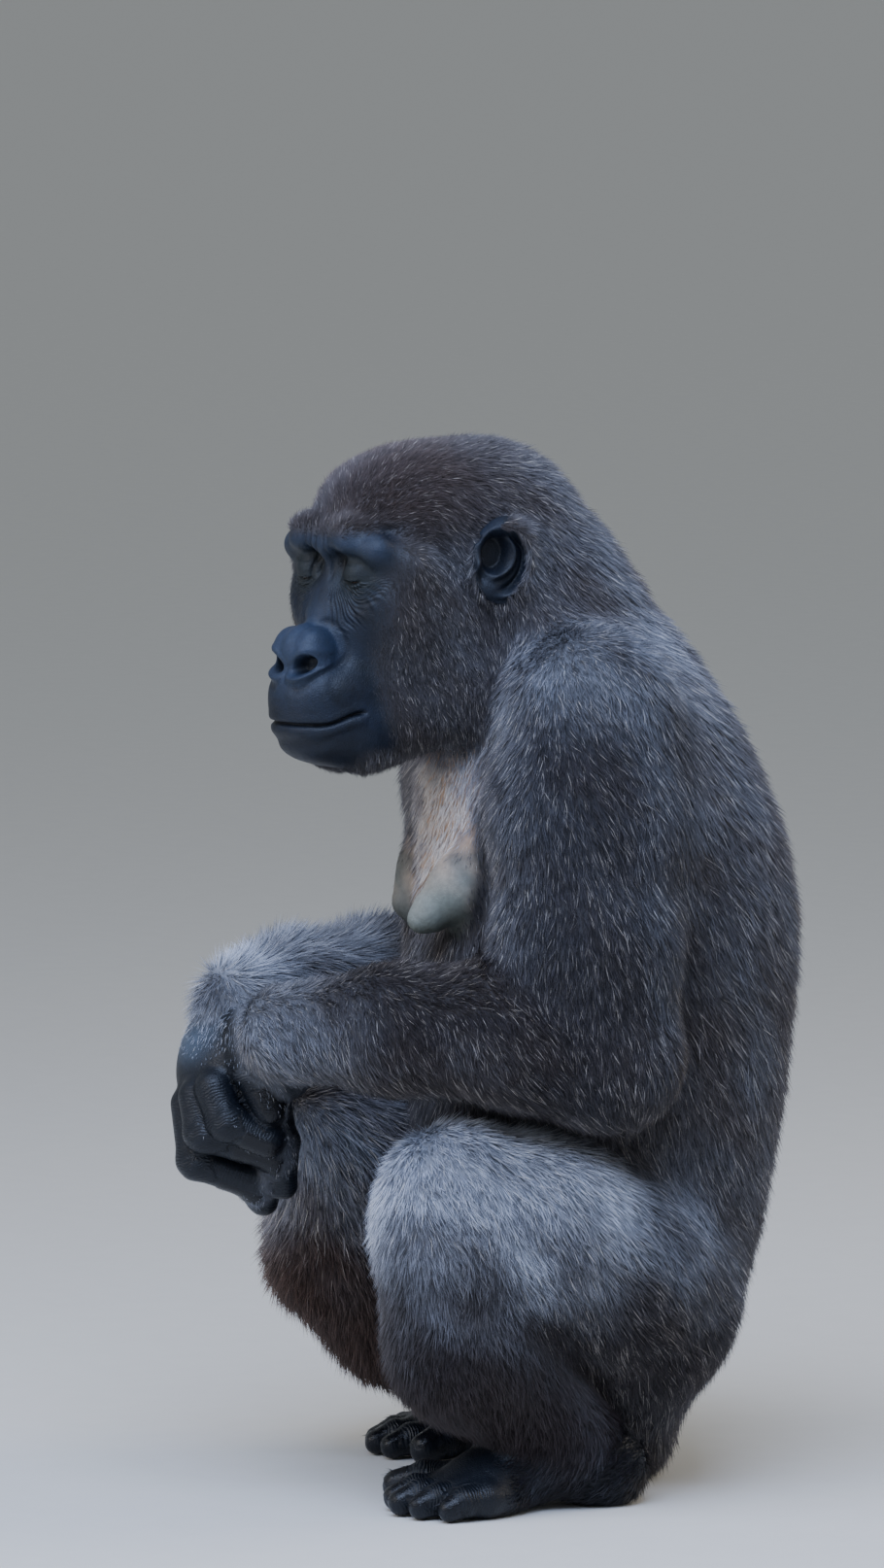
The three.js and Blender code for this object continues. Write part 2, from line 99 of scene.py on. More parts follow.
BREASTS = (Zone.BREAST_LEFT, Zone.BREAST_RIGHT)
HANDS = (Zone.HAND_LEFT, Zone.HAND_RIGHT)
FEET = (Zone.FOOT_LEFT, Zone.FOOT_RIGHT)
ARM = {Side.LEFT: (Zone.UPPER_ARM_LEFT, Zone.FOREARM_LEFT, Zone.HAND_LEFT),
       Side.RIGHT: (Zone.UPPER_ARM_RIGHT, Zone.FOREARM_RIGHT, Zone.HAND_RIGHT)}
LEG = {Side.LEFT: (Zone.THIGH_LEFT, Zone.SHIN_LEFT, Zone.FOOT_LEFT),
       Side.RIGHT: (Zone.THIGH_RIGHT, Zone.SHIN_RIGHT, Zone.FOOT_RIGHT)}


# ---- Arithmetic on whole arrays -------------------------------------------------------------
def length(v: Array) -> Array:
    """Length of each row: root of the sum of squares."""
    return np.sqrt(np.einsum("ij,ij->i", v, v))


def unit(v: Array) -> Array:
    """Each row divided by its length."""
    return v / np.maximum(length(v), 1e-9)[:, None]


def ramp(low: float, high: float, x: Array) -> Array:
    """0 below low and 1 above high, along 3t^2 - 2t^3 between them."""
    t = np.clip((x - low) / (high - low), 0.0, 1.0)
    return t * t * (3.0 - 2.0 * t)


def hump(x: Array, width: float) -> Array:
    """A bell 1 high: e to the power of minus (x over width) squared."""
    return np.exp(-np.square(x / width))


def mix(a: Array | float, b: Array | float, t: Array) -> Array:
    """a where t is 0, b where t is 1, in proportion between."""
    return a + (b - a) * t


def flat_along(v: Array, normal: Array) -> Array:
    """Each row of v without its part along the normal, made a unit length."""
    return unit(v - np.einsum("ij,ij->i", v, normal)[:, None] * normal)


@dataclass(frozen=True)
class Ripple:
    """A smooth random field: the sum of sines along seeded directions.

    Attributes:
        wave: typical distance between crests, mm.
        seed: which field of this kind.
        count: how many sines are summed.
    """

    wave: float
    seed: int
    count: int = 9

    def at(self, points: Array) -> Array:
        """Value at each point, about -1 to 1: sum of sin(k.p + phase) over root(count).

        Args:
            points: where it is read, mm.

        Returns:
            A number for each point.
        """
        rng = np.random.default_rng(self.seed)
        ways = unit(rng.normal(size=(self.count, 3)))
        waves = 2 * math.pi / (self.wave * rng.uniform(0.6, 1.6, self.count))
        phases = rng.uniform(0, 2 * math.pi, self.count)
        return np.sin(points @ (ways * waves[:, None]).T + phases).sum(1) / math.sqrt(self.count)


# ---- Fields: distance to a shape in mm, below zero inside --------------------------------
FAR = 70.0  # beyond this a bounded shape answers with the distance to its ball


def smooth_min(a: Array, b: Array, k: Array | float) -> Array:
    """The lesser, less h^2 k/4, where h is how near the two are as a share of k."""
    h = np.maximum(k - np.abs(a - b), 0.0) / k
    return np.minimum(a, b) - h * h * k * 0.25


def smooth_cut(a: Array, b: Array, k: float) -> Array:
    """Shape a with shape b taken out, the edge rounded by k."""
    return -smooth_min(-a, b, k)


def bounded(shape: Shape, centre: Array, reach: float) -> Shape:
    """Spares work: away from its ball, the shape's distance is the ball's.

    Args:
        shape: the field, which lies wholly inside the ball.
        centre: middle of the ball.
        reach: radius of the ball.

    Returns:
        The same field near the ball, and the distance to the ball beyond FAR.
    """

    def value(p: Array) -> Array:
        """Distance to the ball, replaced by the true one where that is near.

        Args:
            p: points, mm.

        Returns:
            One number for each.
        """
        away = length(p - centre) - reach
        close = away < FAR
        if close.any():
            away[close] = shape(p[close])
        return away

    return value


def bone(start: Station, end: Station) -> Shape:
    """Tapered capsule: distance to the line from start to end, less a radius that grows evenly.

    Args:
        start: place and radius at one end.
        end: the same at the other.

    Returns:
        The shape.
    """
    a, b = np.array(start, float), np.array(end, float)
    axis = b[:3] - a[:3]

    def value(p: Array) -> Array:
        """Distance at each point."""
        t = np.clip((p - a[:3]) @ axis / (axis @ axis), 0.0, 1.0)
        return length(p - a[:3] - t[:, None] * axis) - a[3] - t * (b[3] - a[3])

    return value


def blend(k: float, *shapes: Shape) -> Shape:
    """Shapes run into each other over k millimetres.

    Args:
        k: width of the soft join, mm.
        shapes: what is joined.

    Returns:
        The joined shape.
    """

    def value(p: Array) -> Array:
        """Soft minimum of all the distances.

        Args:
            p: points, mm.

        Returns:
            One number for each.
        """
        total = shapes[0](p)
        for shape in shapes[1:]:
            total = smooth_min(total, shape(p), k)
        return total

    return value


def drawn_in(shape: Shape, depth: float) -> Shape:
    """The shape with its surface moved inwards by the depth.

    Args:
        shape: the field.
        depth: how far, mm.

    Returns:
        The smaller shape.
    """

    def value(p: Array) -> Array:
        """Distance at each point, more by the depth."""
        return shape(p) + depth

    return value


def chain(stations: list[Station], k: float) -> Shape:
    """Capsules from each station to the next, kept to the ball that holds them all.

    Args:
        stations: place and radius of each.
        k: width of the soft joins, mm.

    Returns:
        The shape.
    """
    points = np.array(stations, float)
    centre = points[:, :3].mean(0)
    reach = float((length(points[:, :3] - centre) + points[:, 3]).max()) + k
    return bounded(blend(k, *[bone(a, b) for a, b in zip(stations, stations[1:])]), centre, reach)


def turned(degrees: tuple[float, float, float]) -> Array:
    """Rotation matrix of turns about X, then Y, then Z of the turned frame (X Y Z order).

    Args:
        degrees: the three turns.

    Returns:
        The matrix.
    """
    x, y, z = (math.radians(a) for a in degrees)
    about_x = np.array([[1, 0, 0], [0, math.cos(x), -math.sin(x)], [0, math.sin(x), math.cos(x)]])
    about_y = np.array([[math.cos(y), 0, math.sin(y)], [0, 1, 0], [-math.sin(y), 0, math.cos(y)]])
    about_z = np.array([[math.cos(z), -math.sin(z), 0], [math.sin(z), math.cos(z), 0], [0, 0, 1]])
    return about_x @ about_y @ about_z


def egg(centre: tuple, radii: tuple, degrees: tuple = (0, 0, 0)) -> Shape:
    """Ellipsoid: n(n-1) over the length of the scaled gradient, n being the scaled radius.

    Args:
        centre: its middle.
        radii: half its length each way.
        degrees: its turns, as in turned.

    Returns:
        The shape.
    """
    c, r, m = np.array(centre, float), np.array(radii, float), turned(degrees)

    def value(p: Array) -> Array:
        """Distance at each point.

        Args:
            p: points, mm.

        Returns:
            One number for each.
        """
        q = (p - c) @ m / r
        n = length(q)
        return n * (n - 1.0) / np.maximum(length(q / r), 1e-6)

    return value


def pillow(centre: tuple, radii: tuple, power: float) -> Shape:
    """Rounded block: |p| (1 - 1/n), with n the power mean of the scaled coordinates.

    Args:
        centre: its middle.
        radii: half its length each way.
        power: 2 for an ellipsoid, more for a squarer one.

    Returns:
        The shape.
    """
    c, r = np.array(centre, float), np.array(radii, float)

    def value(p: Array) -> Array:
        """Distance at each point.

        Args:
            p: points, mm.

        Returns:
            One number for each.
        """
        q = p - c
        n = (np.abs(q / r) ** power).sum(1) ** (1 / power)
        return length(q) * (1.0 - 1.0 / np.maximum(n, 1e-3))

    return value


def through(knots: Array, values: Array, x: Array) -> Array:
    """Cubic Hermite curve through the values, its slopes those of the neighbours' chords.

    Args:
        knots: where the values stand, rising.
        values: one for each knot.
        x: where the curve is read.

    Returns:
        The curve there.
    """
    i = np.clip(np.searchsorted(knots, x, "right") - 1, 0, len(knots) - 2)
    span = knots[i + 1] - knots[i]
    t = np.clip((x - knots[i]) / span, 0.0, 1.0)
    before, after = np.maximum(i - 1, 0), np.minimum(i + 2, len(knots) - 1)
    m0 = (values[i + 1] - values[before]) / (knots[i + 1] - knots[before]) * span
    m1 = (values[after] - values[i]) / (knots[after] - knots[i]) * span
    t2, t3 = t * t, t * t * t
    return ((2 * t3 - 3 * t2 + 1) * values[i] + (t3 - 2 * t2 + t) * m0
            + (3 * t2 - 2 * t3) * values[i + 1] + (t3 - t2) * m1)


def stack(rows: list[tuple[float, float, float, float]], power: float = 2.2) -> Shape:
    """Oval sections in height, each row (z, middle y, half width, half depth).

    Args:
        rows: the sections, rising.
        power: 2 for an oval, more for a squarer one.

    Returns:
        The shape.
    """
    table = np.array(rows, float).T

    def value(p: Array) -> Array:
        """Distance in the section's plane, closed by flat ends.

        Args:
            p: points, mm.

        Returns:
            One number for each.
        """
        middle, width, depth = (through(table[0], column, p[:, 2]) for column in table[1:])
        y = p[:, 1] - middle
        reach = np.hypot(p[:, 0], y)
        oval = (np.abs(p[:, 0] / width) ** power + np.abs(y / depth) ** power) ** (1 / power)
        wall = reach * (1.0 - 1.0 / np.maximum(oval, 1e-3))
        return np.maximum(wall, np.maximum(p[:, 2] - table[0, -1], table[0, 0] - p[:, 2]))

    return value


def slope(shape: Shape, p: Array, step: float = 0.5) -> Array:
    """Gradient of a field from four points set as a tetrahedron about each point."""
    corners = np.array([[1, -1, -1], [-1, -1, 1], [-1, 1, -1], [1, 1, 1]], float)
    return sum(c * shape(p + step * c)[:, None] for c in corners) / (4.0 * step)


# ---- The head -------------------------------------------------------------------------------
@dataclass(frozen=True)
class HeadFrame:
    """The head's own axes: forward, her left, and up from eye level; found from the eyes.

    Attributes:
        origin: the point between the ears, mm.
        yaw: turn to her left, radians.
    """

    origin: Array
    yaw: float

    @property
    def axes(self) -> Array:
        """Rows: forward, left and up as directions in the maker's frame."""
        s, c = math.sin(self.yaw), math.cos(self.yaw)
        return np.array([[s, -c, 0.0], [c, s, 0.0], [0.0, 0.0, 1.0]])

    def inside(self, p: Array) -> Array:
        """Points in head coordinates."""
        return (p - self.origin) @ self.axes.T

    def outside(self, q: Array) -> Array:
        """Head coordinates as points in the maker's frame."""
        return q @ self.axes + self.origin


def folded(q: Array) -> Array:
    """Head coordinates with her right half folded onto her left."""
    return np.stack([q[:, 0], np.abs(q[:, 1]), q[:, 2]], 1)


@dataclass(frozen=True)
class Head:
    """Skull, muzzle, brow, nose, lids and ears; sizes in mm in the head's frame."""

    eye: tuple[float, float, float] = (92.0, 31.0, -2.0)
    ball: float = 12.0
    lid: float = 1.9
    mouth: float = -127.0
    nostril: tuple[float, float, float] = (146.0, 17.0, -77.0)
    ear: tuple[float, float, float] = (-9.0, 92.0, 8.0)
    ear_size: tuple[float, float, float] = (7.0, 27.0, 36.0)
    ear_flare: float = 0.3
    ear_lean: float = 12.0

    def face(self) -> Shape:
        """The head without its ears, in head coordinates folded to one side.

        Returns:
            The shape.
        """
        skull = blend(
            22, pillow((-12, 0, 6), (107, 69, 83), 2.2), egg((64, 45, -26), (35, 26, 37)),
            egg((62, 0, -52), (56, 50, 62)), egg((16, 44, -58), (52, 30, 74)),
            egg((34, 0, 36), (46, 52, 33)), bone((78, 20, -135, 30), (4, 42, -110, 34)))
        muzzle = blend(12, pillow((92, 0, -108), (60, 46, 38), 2.4),
                       pillow((86, 0, -134), (60, 43, 31), 2.4))
        brow = chain([(100, 0, 21, 12), (102, 28, 23, 12), (90, 50, 17, 12), (64, 66, 4, 12)], 8)
        bridge = blend(8, bone((87, 0, 2, 11), (103, 0, -42, 13.5)), egg((124, 0, -66), (24, 17, 22)))
        wing = blend(5, egg((127, 14.5, -70), (20, 14, 23)), egg((133, 13, -88), (14, 13, 12)))
        f, l, u = self.eye
        lids = egg((f, l, u), (self.ball + self.lid,) * 3)
        socket = blend(7, egg((f + 25, l, u + 1), (22, 19, 13)), egg((f + 20, l - 14, u + 9), (15, 8, 9)))

        def value(p: Array) -> Array:
            """Skull with muzzle, brow and nose run in, sockets cut and lids laid over the eyes.

            Args:
                p: points, mm.

            Returns:
                One number for each.
            """
            d = smooth_min(skull(p), muzzle(p), 20)
            d = smooth_min(smooth_min(d, brow(p), 16), bridge(p), 9)
            d = smooth_cut(d, socket(p), 12)
            d = smooth_min(d, wing(p), 6)
            return smooth_min(d, lids(p), 8)

        return bounded(value, np.array([20.0, 0.0, -30.0]), 172.0)

    def ear_axes(self) -> Array:
        """Rows: out, back and up along the left ear, flared forward and leaning back.

        Returns:
            The three rows.
        """
        s, c = math.sin(self.ear_flare), math.cos(self.ear_flare)
        t, k = math.sin(math.radians(self.ear_lean)), math.cos(math.radians(self.ear_lean))
        return np.array([[s, c, 0.0], [-c * k, s * k, -t], [-c * t, s * t, k]])

    def field(self, place: HeadFrame) -> Shape:
        """Distance to the whole head at points of the maker's frame.

        Args:
            place: where the head stands and how it is turned.

        Returns:
            The shape.
        """
        face, axes = self.face(), self.ear_axes()
        centre = np.array(self.ear)

        def value(p: Array) -> Array:
            """Head folded to one side, with the ear as a leaning flat egg.

            Args:
                p: points, mm.

            Returns:
                One number for each.
            """
            q = folded(place.inside(p))
            e = (q - centre) @ axes.T / np.array(self.ear_size)
            n = length(e)
            ear = n * (n - 1.0) / np.maximum(length(e / np.array(self.ear_size)), 1e-6)
            full = mix(4.0, 11.0, ramp(18, 84, q[:, 2])) + 4.0 * (1 - ramp(-80, -20, q[:, 0]))
            full = full * self.haired(q) * ramp(-150, -120, q[:, 2])  # wool under the guard hair
            return smooth_min(face(q) - full, ear, 6)

        return bounded(value, place.outside(np.array([[20.0, 0.0, -30.0]]))[0], 186.0)

    def haired(self, q: Array) -> Array:
        """0 on the bare face, 1 where the head is haired: behind the cheek line and above the brow.

        Args:
            q: points in head coordinates.

        Returns:
            The share at each point.
        """
        side = np.abs(q[:, 1])
        edge = q[:, 0] + 0.002 * np.square(q[:, 2] + 55.0) - 0.10 * (side - 55.0)
        cheek = 1.0 - ramp(68, 100, edge)
        crown = ramp(28, 44, q[:, 2] + 0.10 * q[:, 0] - 6.0 - 0.05 * side)
        beard = (1 - ramp(-156, -144, q[:, 2])) * (1 - ramp(84, 108, q[:, 0]))
        return np.maximum.reduce([cheek, crown, beard])

    def lines(self, q: Array) -> Array:
        """Fine folds fanning from the inner corner of the eye, and the painted shade round the eye.

        Args:
            q: points on the head in head coordinates.

        Returns:
            Columns: how many folds lie between the point and the fan's edge, their depth, and the share of
                painted shade round the eye.
        """
        r, psi, fan = self.fan(q)
        # painted shade: olive-dark skin round the eye standing in for the shade of the socket
        painted_light = 0.8 * (1 - ramp(12, 34, length(folded(q) - np.array(self.eye))))
        turns = (psi + 7.0 * Ripple(34, 61).at(q)) / 6.2
        return np.stack([turns, 0.85 * fan * ramp(8, 18, r), painted_light], 1)

    def bloom(self, q: Array) -> Array:
        """Share of the painted bluish highlight over the nose and, faintly, along the brow."""
        nose = 1 - ramp(0.3, 1.8, length((q - np.array([136.0, 0.0, -64.0])) / np.array([34, 34, 32])))
        return 0.50 * nose + 0.25 * hump(q[:, 2] - 20.0, 14.0) * ramp(84, 96, q[:, 0])

    @staticmethod
    def fan(q: Array) -> tuple[Array, Array, Array]:
        """Distance and angle from the inner corner of the eye, and the share of each point in the fan.

        Args:
            q: points in head coordinates.

        Returns:
            Distance in mm, angle in degrees, and share.
        """
        f, s, u = q[:, 0], np.abs(q[:, 1]), q[:, 2]
        a, b = 0.766 * (109.0 - f) + 0.643 * (s - 15.0), u + 4.0
        r = np.hypot(a, b)
        psi = np.degrees(np.arctan2(-b, a)) + 0.35 * r
        share = ramp(5, 14, r) * (1 - ramp(34, 56, r)) * ramp(12, 26, psi) * (1 - ramp(100, 116, psi))
        return r, psi, share * ramp(70, 88, f) * ramp(4, 8, s)

    def mouth_height(self, f: Array) -> Array:
        """Height of the lips' meeting line: level in front, rising towards the corners."""
        return self.mouth + 10.0 * ramp(0.0, 1.0, (138.0 - f) / 36.0)

    def relief(self, q: Array) -> tuple[Array, Array]:
        """Folds of the face as a height along the surface, and a push into the nostrils.

        Args:
            q: points on the head in head coordinates.

        Returns:
            Height in mm at each point, and the distance each point goes backwards.
        """
        f, l, u = q.T
        n = folded(q) - np.array(self.nostril)
        n[:, 2] -= 0.35 * n[:, 1]
        hole = np.sqrt(np.square(n[:, 0] / 22) + np.square(n[:, 1] / 11) + np.square(n[:, 2] / 8.2))
        height = self.lip_relief(q) + self.frown_relief(q) + self.lid_relief(q)
        _, psi, fan = self.fan(q)
        height += 0.55 * fan * np.cos(2 * math.pi * (psi + 6.0 * Ripple(18, 62).at(q)) / 13.0)
        rim = 1.0 + 2.4 * (1 - ramp(-8, 3, n[:, 2]))  # fuller below the opening
        height += rim * hump(hole - 1.42, 0.32) * ramp(110, 125, f)
        wing = np.hypot((np.abs(l) - 14.5) / 16.5, (u + 70.0) / 27.5)
        height -= 1.5 * hump((wing - 1.0) * 17, 2.2) * ramp(98, 110, f) * ramp(6, 14, np.abs(l))
        return height * ramp(70, 88, f), 13.0 * (1 - ramp(0.55, 1.10, hole))

    def lip_relief(self, q: Array) -> Array:
        """Height of the lips: their groove, a full lower lip, and the fold down from the nose's wing.

        Args:
            q: points in head coordinates.

        Returns:
            Height in mm at each point.
        """
        f, l, u = q.T
        g = u - self.mouth_height(f)
        lips = ramp(97, 106, f)
        height = lips * (-4.6 * hump(g, 1.6) + 1.6 * hump(g + 6.5, 4.5) + 0.7 * hump(g - 5.0, 4.0))
        height -= 1.2 * hump(g + 16.0, 5.0) * ramp(118, 136, f)
        fold = np.abs(l) - (30.0 + 0.32 * (-70.0 - u))
        return height - 1.1 * hump(fold, 2.6) * ramp(-128, -112, u) * (1 - ramp(-76, -64, u)) * lips

    def frown_relief(self, q: Array) -> Array:
        """Height of the upright folds between the brows, deeper to her right of the middle.

        Args:
            q: points in head coordinates.

        Returns:
            Height in mm at each point.
        """
        f, l, u = q.T
        between = ramp(-14, -4, u) * (1 - ramp(26, 34, u)) * ramp(86, 96, f)
        height = np.zeros(len(q))
        for across, depth in ((-19.0, 1.1), (-13.0, 1.5), (-5.5, 1.6), (6.0, 1.0), (13.0, 0.8)):
            bow = across * (1.0 - 0.008 * (u - 8.0))
            height -= 1.2 * depth * hump(l - bow, 1.5) * between
        return height

    def lid_relief(self, q: Array) -> Array:
        """Height of the lids: the slit between them with its two rims, and a fold above and below.

        Args:
            q: points in head coordinates.

        Returns:
            Height in mm at each point.
        """
        e = folded(q) - np.array(self.eye)
        tilt = np.degrees(np.arctan2(e[:, 2], np.hypot(e[:, 0], e[:, 1])))
        turn = np.degrees(np.arctan2(e[:, 1], e[:, 0]))
        slit = -37.0 + 14.0 * np.square(turn / 60.0)
        open_lid = np.clip(1.0 - np.square(turn / 52.0), 0.0, 1.0)
        rims = 0.5 * (hump(tilt - slit - 12, 6.0) + hump(tilt - slit + 12, 6.0))
        folds = 0.5 * (hump(tilt - 34.0, 7.0) + hump(tilt + 64.0, 7.0))
        ahead = (1 - ramp(16, 22, length(e))) * ramp(2, 6, e[:, 0])
        return ahead * ((rims - 3.2 * hump(tilt - slit, 4.5)) * open_lid - folds)

    def ear_relief(self, across: Array, up: Array) -> Array:
        """Height of the ear's outer face over its middle plane, mm.

        Args:
            across: back from the middle as a share of the half width.
            up: up from the middle as a share of the half height.

        Returns:
            Rolled rim, groove, inner ridge, deep bowl, the flap before it and the lobe.
        """
        rho, theta = np.hypot(across, up), np.arctan2(up, across)
        top = ramp(0.35, 0.95, np.sin(theta)) * ramp(-0.75, -0.35, across)
        back = ramp(-0.75, 0.10, np.cos(theta - 0.7))
        rim = (1.5 + 6.5 * back + 1.5 * top) * hump(rho - mix(0.89, 0.80, top), mix(0.085, 0.165, top))
        groove = -3.2 * hump(rho - mix(0.70, 0.54, top), 0.07) * ramp(-0.5, 0.1, across + 0.5 * up)
        inner = np.hypot(across + 0.45, 1.45 * (up - 0.08))
        ridge = 5.0 * hump(inner - 0.80, 0.11) * ramp(-0.40, -0.10, across)
        bowl = -9.0 * self.ear_bowl(across, up)
        flap = 6.5 * hump(across + 0.80, 0.13) * hump(up + 0.22, 0.20)
        notch = -2.5 * hump(across + 0.52, 0.11) * hump(up + 0.50, 0.14)
        lobe = 3.5 * hump(across + 0.05, 0.42) * hump(up + 0.72, 0.20)
        return 1.5 + rim + groove + ridge + bowl + flap + notch + lobe

    def ear_bowl(self, across: Array, up: Array) -> Array:
        """Share of the deep bowl before the ear's opening: 1 at its floor, 0 outside it."""
        return 1 - ramp(0.62, 1.0, np.hypot((across + 0.28) / 0.50, (up - 0.08) / 0.50))


# ---- The body ----------------------------------------------------------------------------------
@dataclass(frozen=True)
class Limb:
    """A row of stations [x, y, z, radius over the coat] and the depth of coat at each."""

    stations: list[Station]
    coat: list[float]

    def field(self, k: float = 24) -> Shape:
        """The limb's flesh: capsules whose radii leave room for the coat."""
        return chain([(x, y, z, r - c) for (x, y, z, r), c in zip(self.stations, self.coat)], k)

    def ends(self) -> tuple[tuple, tuple]:
        """Where the first and the last station stand."""
        return self.stations[0][:3], self.stations[-1][:3]

    def way(self, p: Array) -> Array:
        """Direction from the first station to the last, one row for each point."""
        a, b = np.array(self.ends(), float)
        return np.tile((b - a) / np.linalg.norm(b - a), (len(p), 1))


@dataclass(frozen=True)
class Foot:
    """Heel, instep, ball and five toes about an ankle."""

    ankle: tuple[float, float]
    side: Side
    toes: tuple = ((-36, 26, -0.5, 52, 15), (-20, 2, -0.08, 44, 12), (1, -3, 0.02, 44, 12),
                   (21, 2, 0.1, 40, 11.5), (39, 14, 0.2, 34, 11))

    def digits(self) -> list[list[Station]]:
        """Root, knuckle and tip of each toe, the great toe first.

        Returns:
            Three stations for each toe.
        """
        (x, y), sign = self.ankle, self.side.value
        rows = []
        for across, back, lean, long, r in self.toes:
            root = (x + sign * (across + 4), y - 100 + back, r + 5, r + 3)
            knuckle = (root[0] + sign * lean * long * 0.6, root[1] - long * 0.6, r + 5, r)
            tip = (root[0] + sign * lean * long, root[1] - long, r - 1, r - 1.5)
            rows.append([root, knuckle, tip])
        return rows

    def field(self) -> Shape:
        """The foot's flesh, cut flat at the floor by the body as a whole.

        Returns:
            The shape.
        """
        (x, y), splay = self.ankle, 8 * self.side.value
        sole = blend(22, egg((x, y + 34, 30), (34, 38, 38)),
                     bone((x, y - 4, 44, 34), (x + splay * 0.6, y - 68, 26, 29)),
                     egg((x + splay, y - 84, 16), (46, 40, 24)))
        toes = blend(2.5, *[chain(row, 6) for row in self.digits()])
        return bounded(blend(7, sole, toes), np.array([x, y - 50, 30.0]), 150.0)


@dataclass(frozen=True)
class Hand:
    """A palm and five bent digits, thumb first."""

    centre: tuple[float, float, float]
    size: tuple[float, float, float]
    degrees: tuple[float, float, float]
    fingers: list[list[Station]]

    def digits(self) -> list[list[Station]]:
        """Knuckle, joint and tip of each digit."""
        return self.fingers

    def field(self) -> Shape:
        """The hand's flesh: digits parted by creases, run into the palm.

        Returns:
            The shape.
        """
        palm = egg(self.centre, self.size, self.degrees)
        fingers = blend(1.2, *[chain(row, 5) for row in self.fingers])
        middle = np.array(self.centre) - np.array([0.0, 0.0, 30.0])
        return bounded(blend(6, palm, fingers), middle, 125.0)


@dataclass(frozen=True)
class Creases:
    """Cross folds and nails along the digits of a hand or foot."""

    rows: list[list[Station]]
    palm: Array

    def relief(self, p: Array) -> tuple[Array, Array, Array]:
        """Height of the knuckles and nails, how far each point is a nail, and the fine cross folds.

        Args:
            p: points on the skin in the maker's frame.

        Returns:
            Height in mm, the share of nail from 0 to 1, and columns of fold count and fold depth.
        """
        height, nail, best = np.zeros(len(p)), np.zeros(len(p)), np.full(len(p), 6.0)
        folds = np.zeros((len(p), 2))
        for row in self.rows:
            stations = np.array(row)
            for a, b, last in ((stations[0], stations[1], False), (stations[1], stations[2], True)):
                axis = b[:3] - a[:3]
                span = np.linalg.norm(axis)
                axis = axis / span
                along = (p - a[:3]) @ axis
                off = p - a[:3] - along[:, None] * axis
                reach = length(off)
                close = (reach < b[3] + 4) & (along > -6) & (along < span + b[3] + 3)
                joint = hump(along - (0.0 if last else span), 8.0)
                height += np.where(close, 0.5 * joint, 0.0)
                nearest = close & (reach - b[3] < best)
                best = np.where(nearest, reach - b[3], best)
                cross = np.stack([along / 2.7 + 0.4 * Ripple(9, 63).at(p), 0.25 + 0.65 * joint], 1)
                folds = np.where(nearest[:, None], cross, folds)
                if not last:
                    continue
                back = a[:3] - self.palm
                back = back - (back @ axis) * axis
                back = back / max(np.linalg.norm(back), 1e-6)
                rise = (off @ back) / np.maximum(reach, 1e-6)
                plate = ramp(0.50, 0.62, rise) * ramp(span * 0.45, span * 0.45 + 1.5, along)
                plate = np.where(close, plate * (along < span + b[3] * 0.8), 0.0)
                nail = np.maximum(nail, plate)
        folds[:, 1] *= 1 - nail
        return height * (1 - nail) + 0.9 * nail, nail, folds


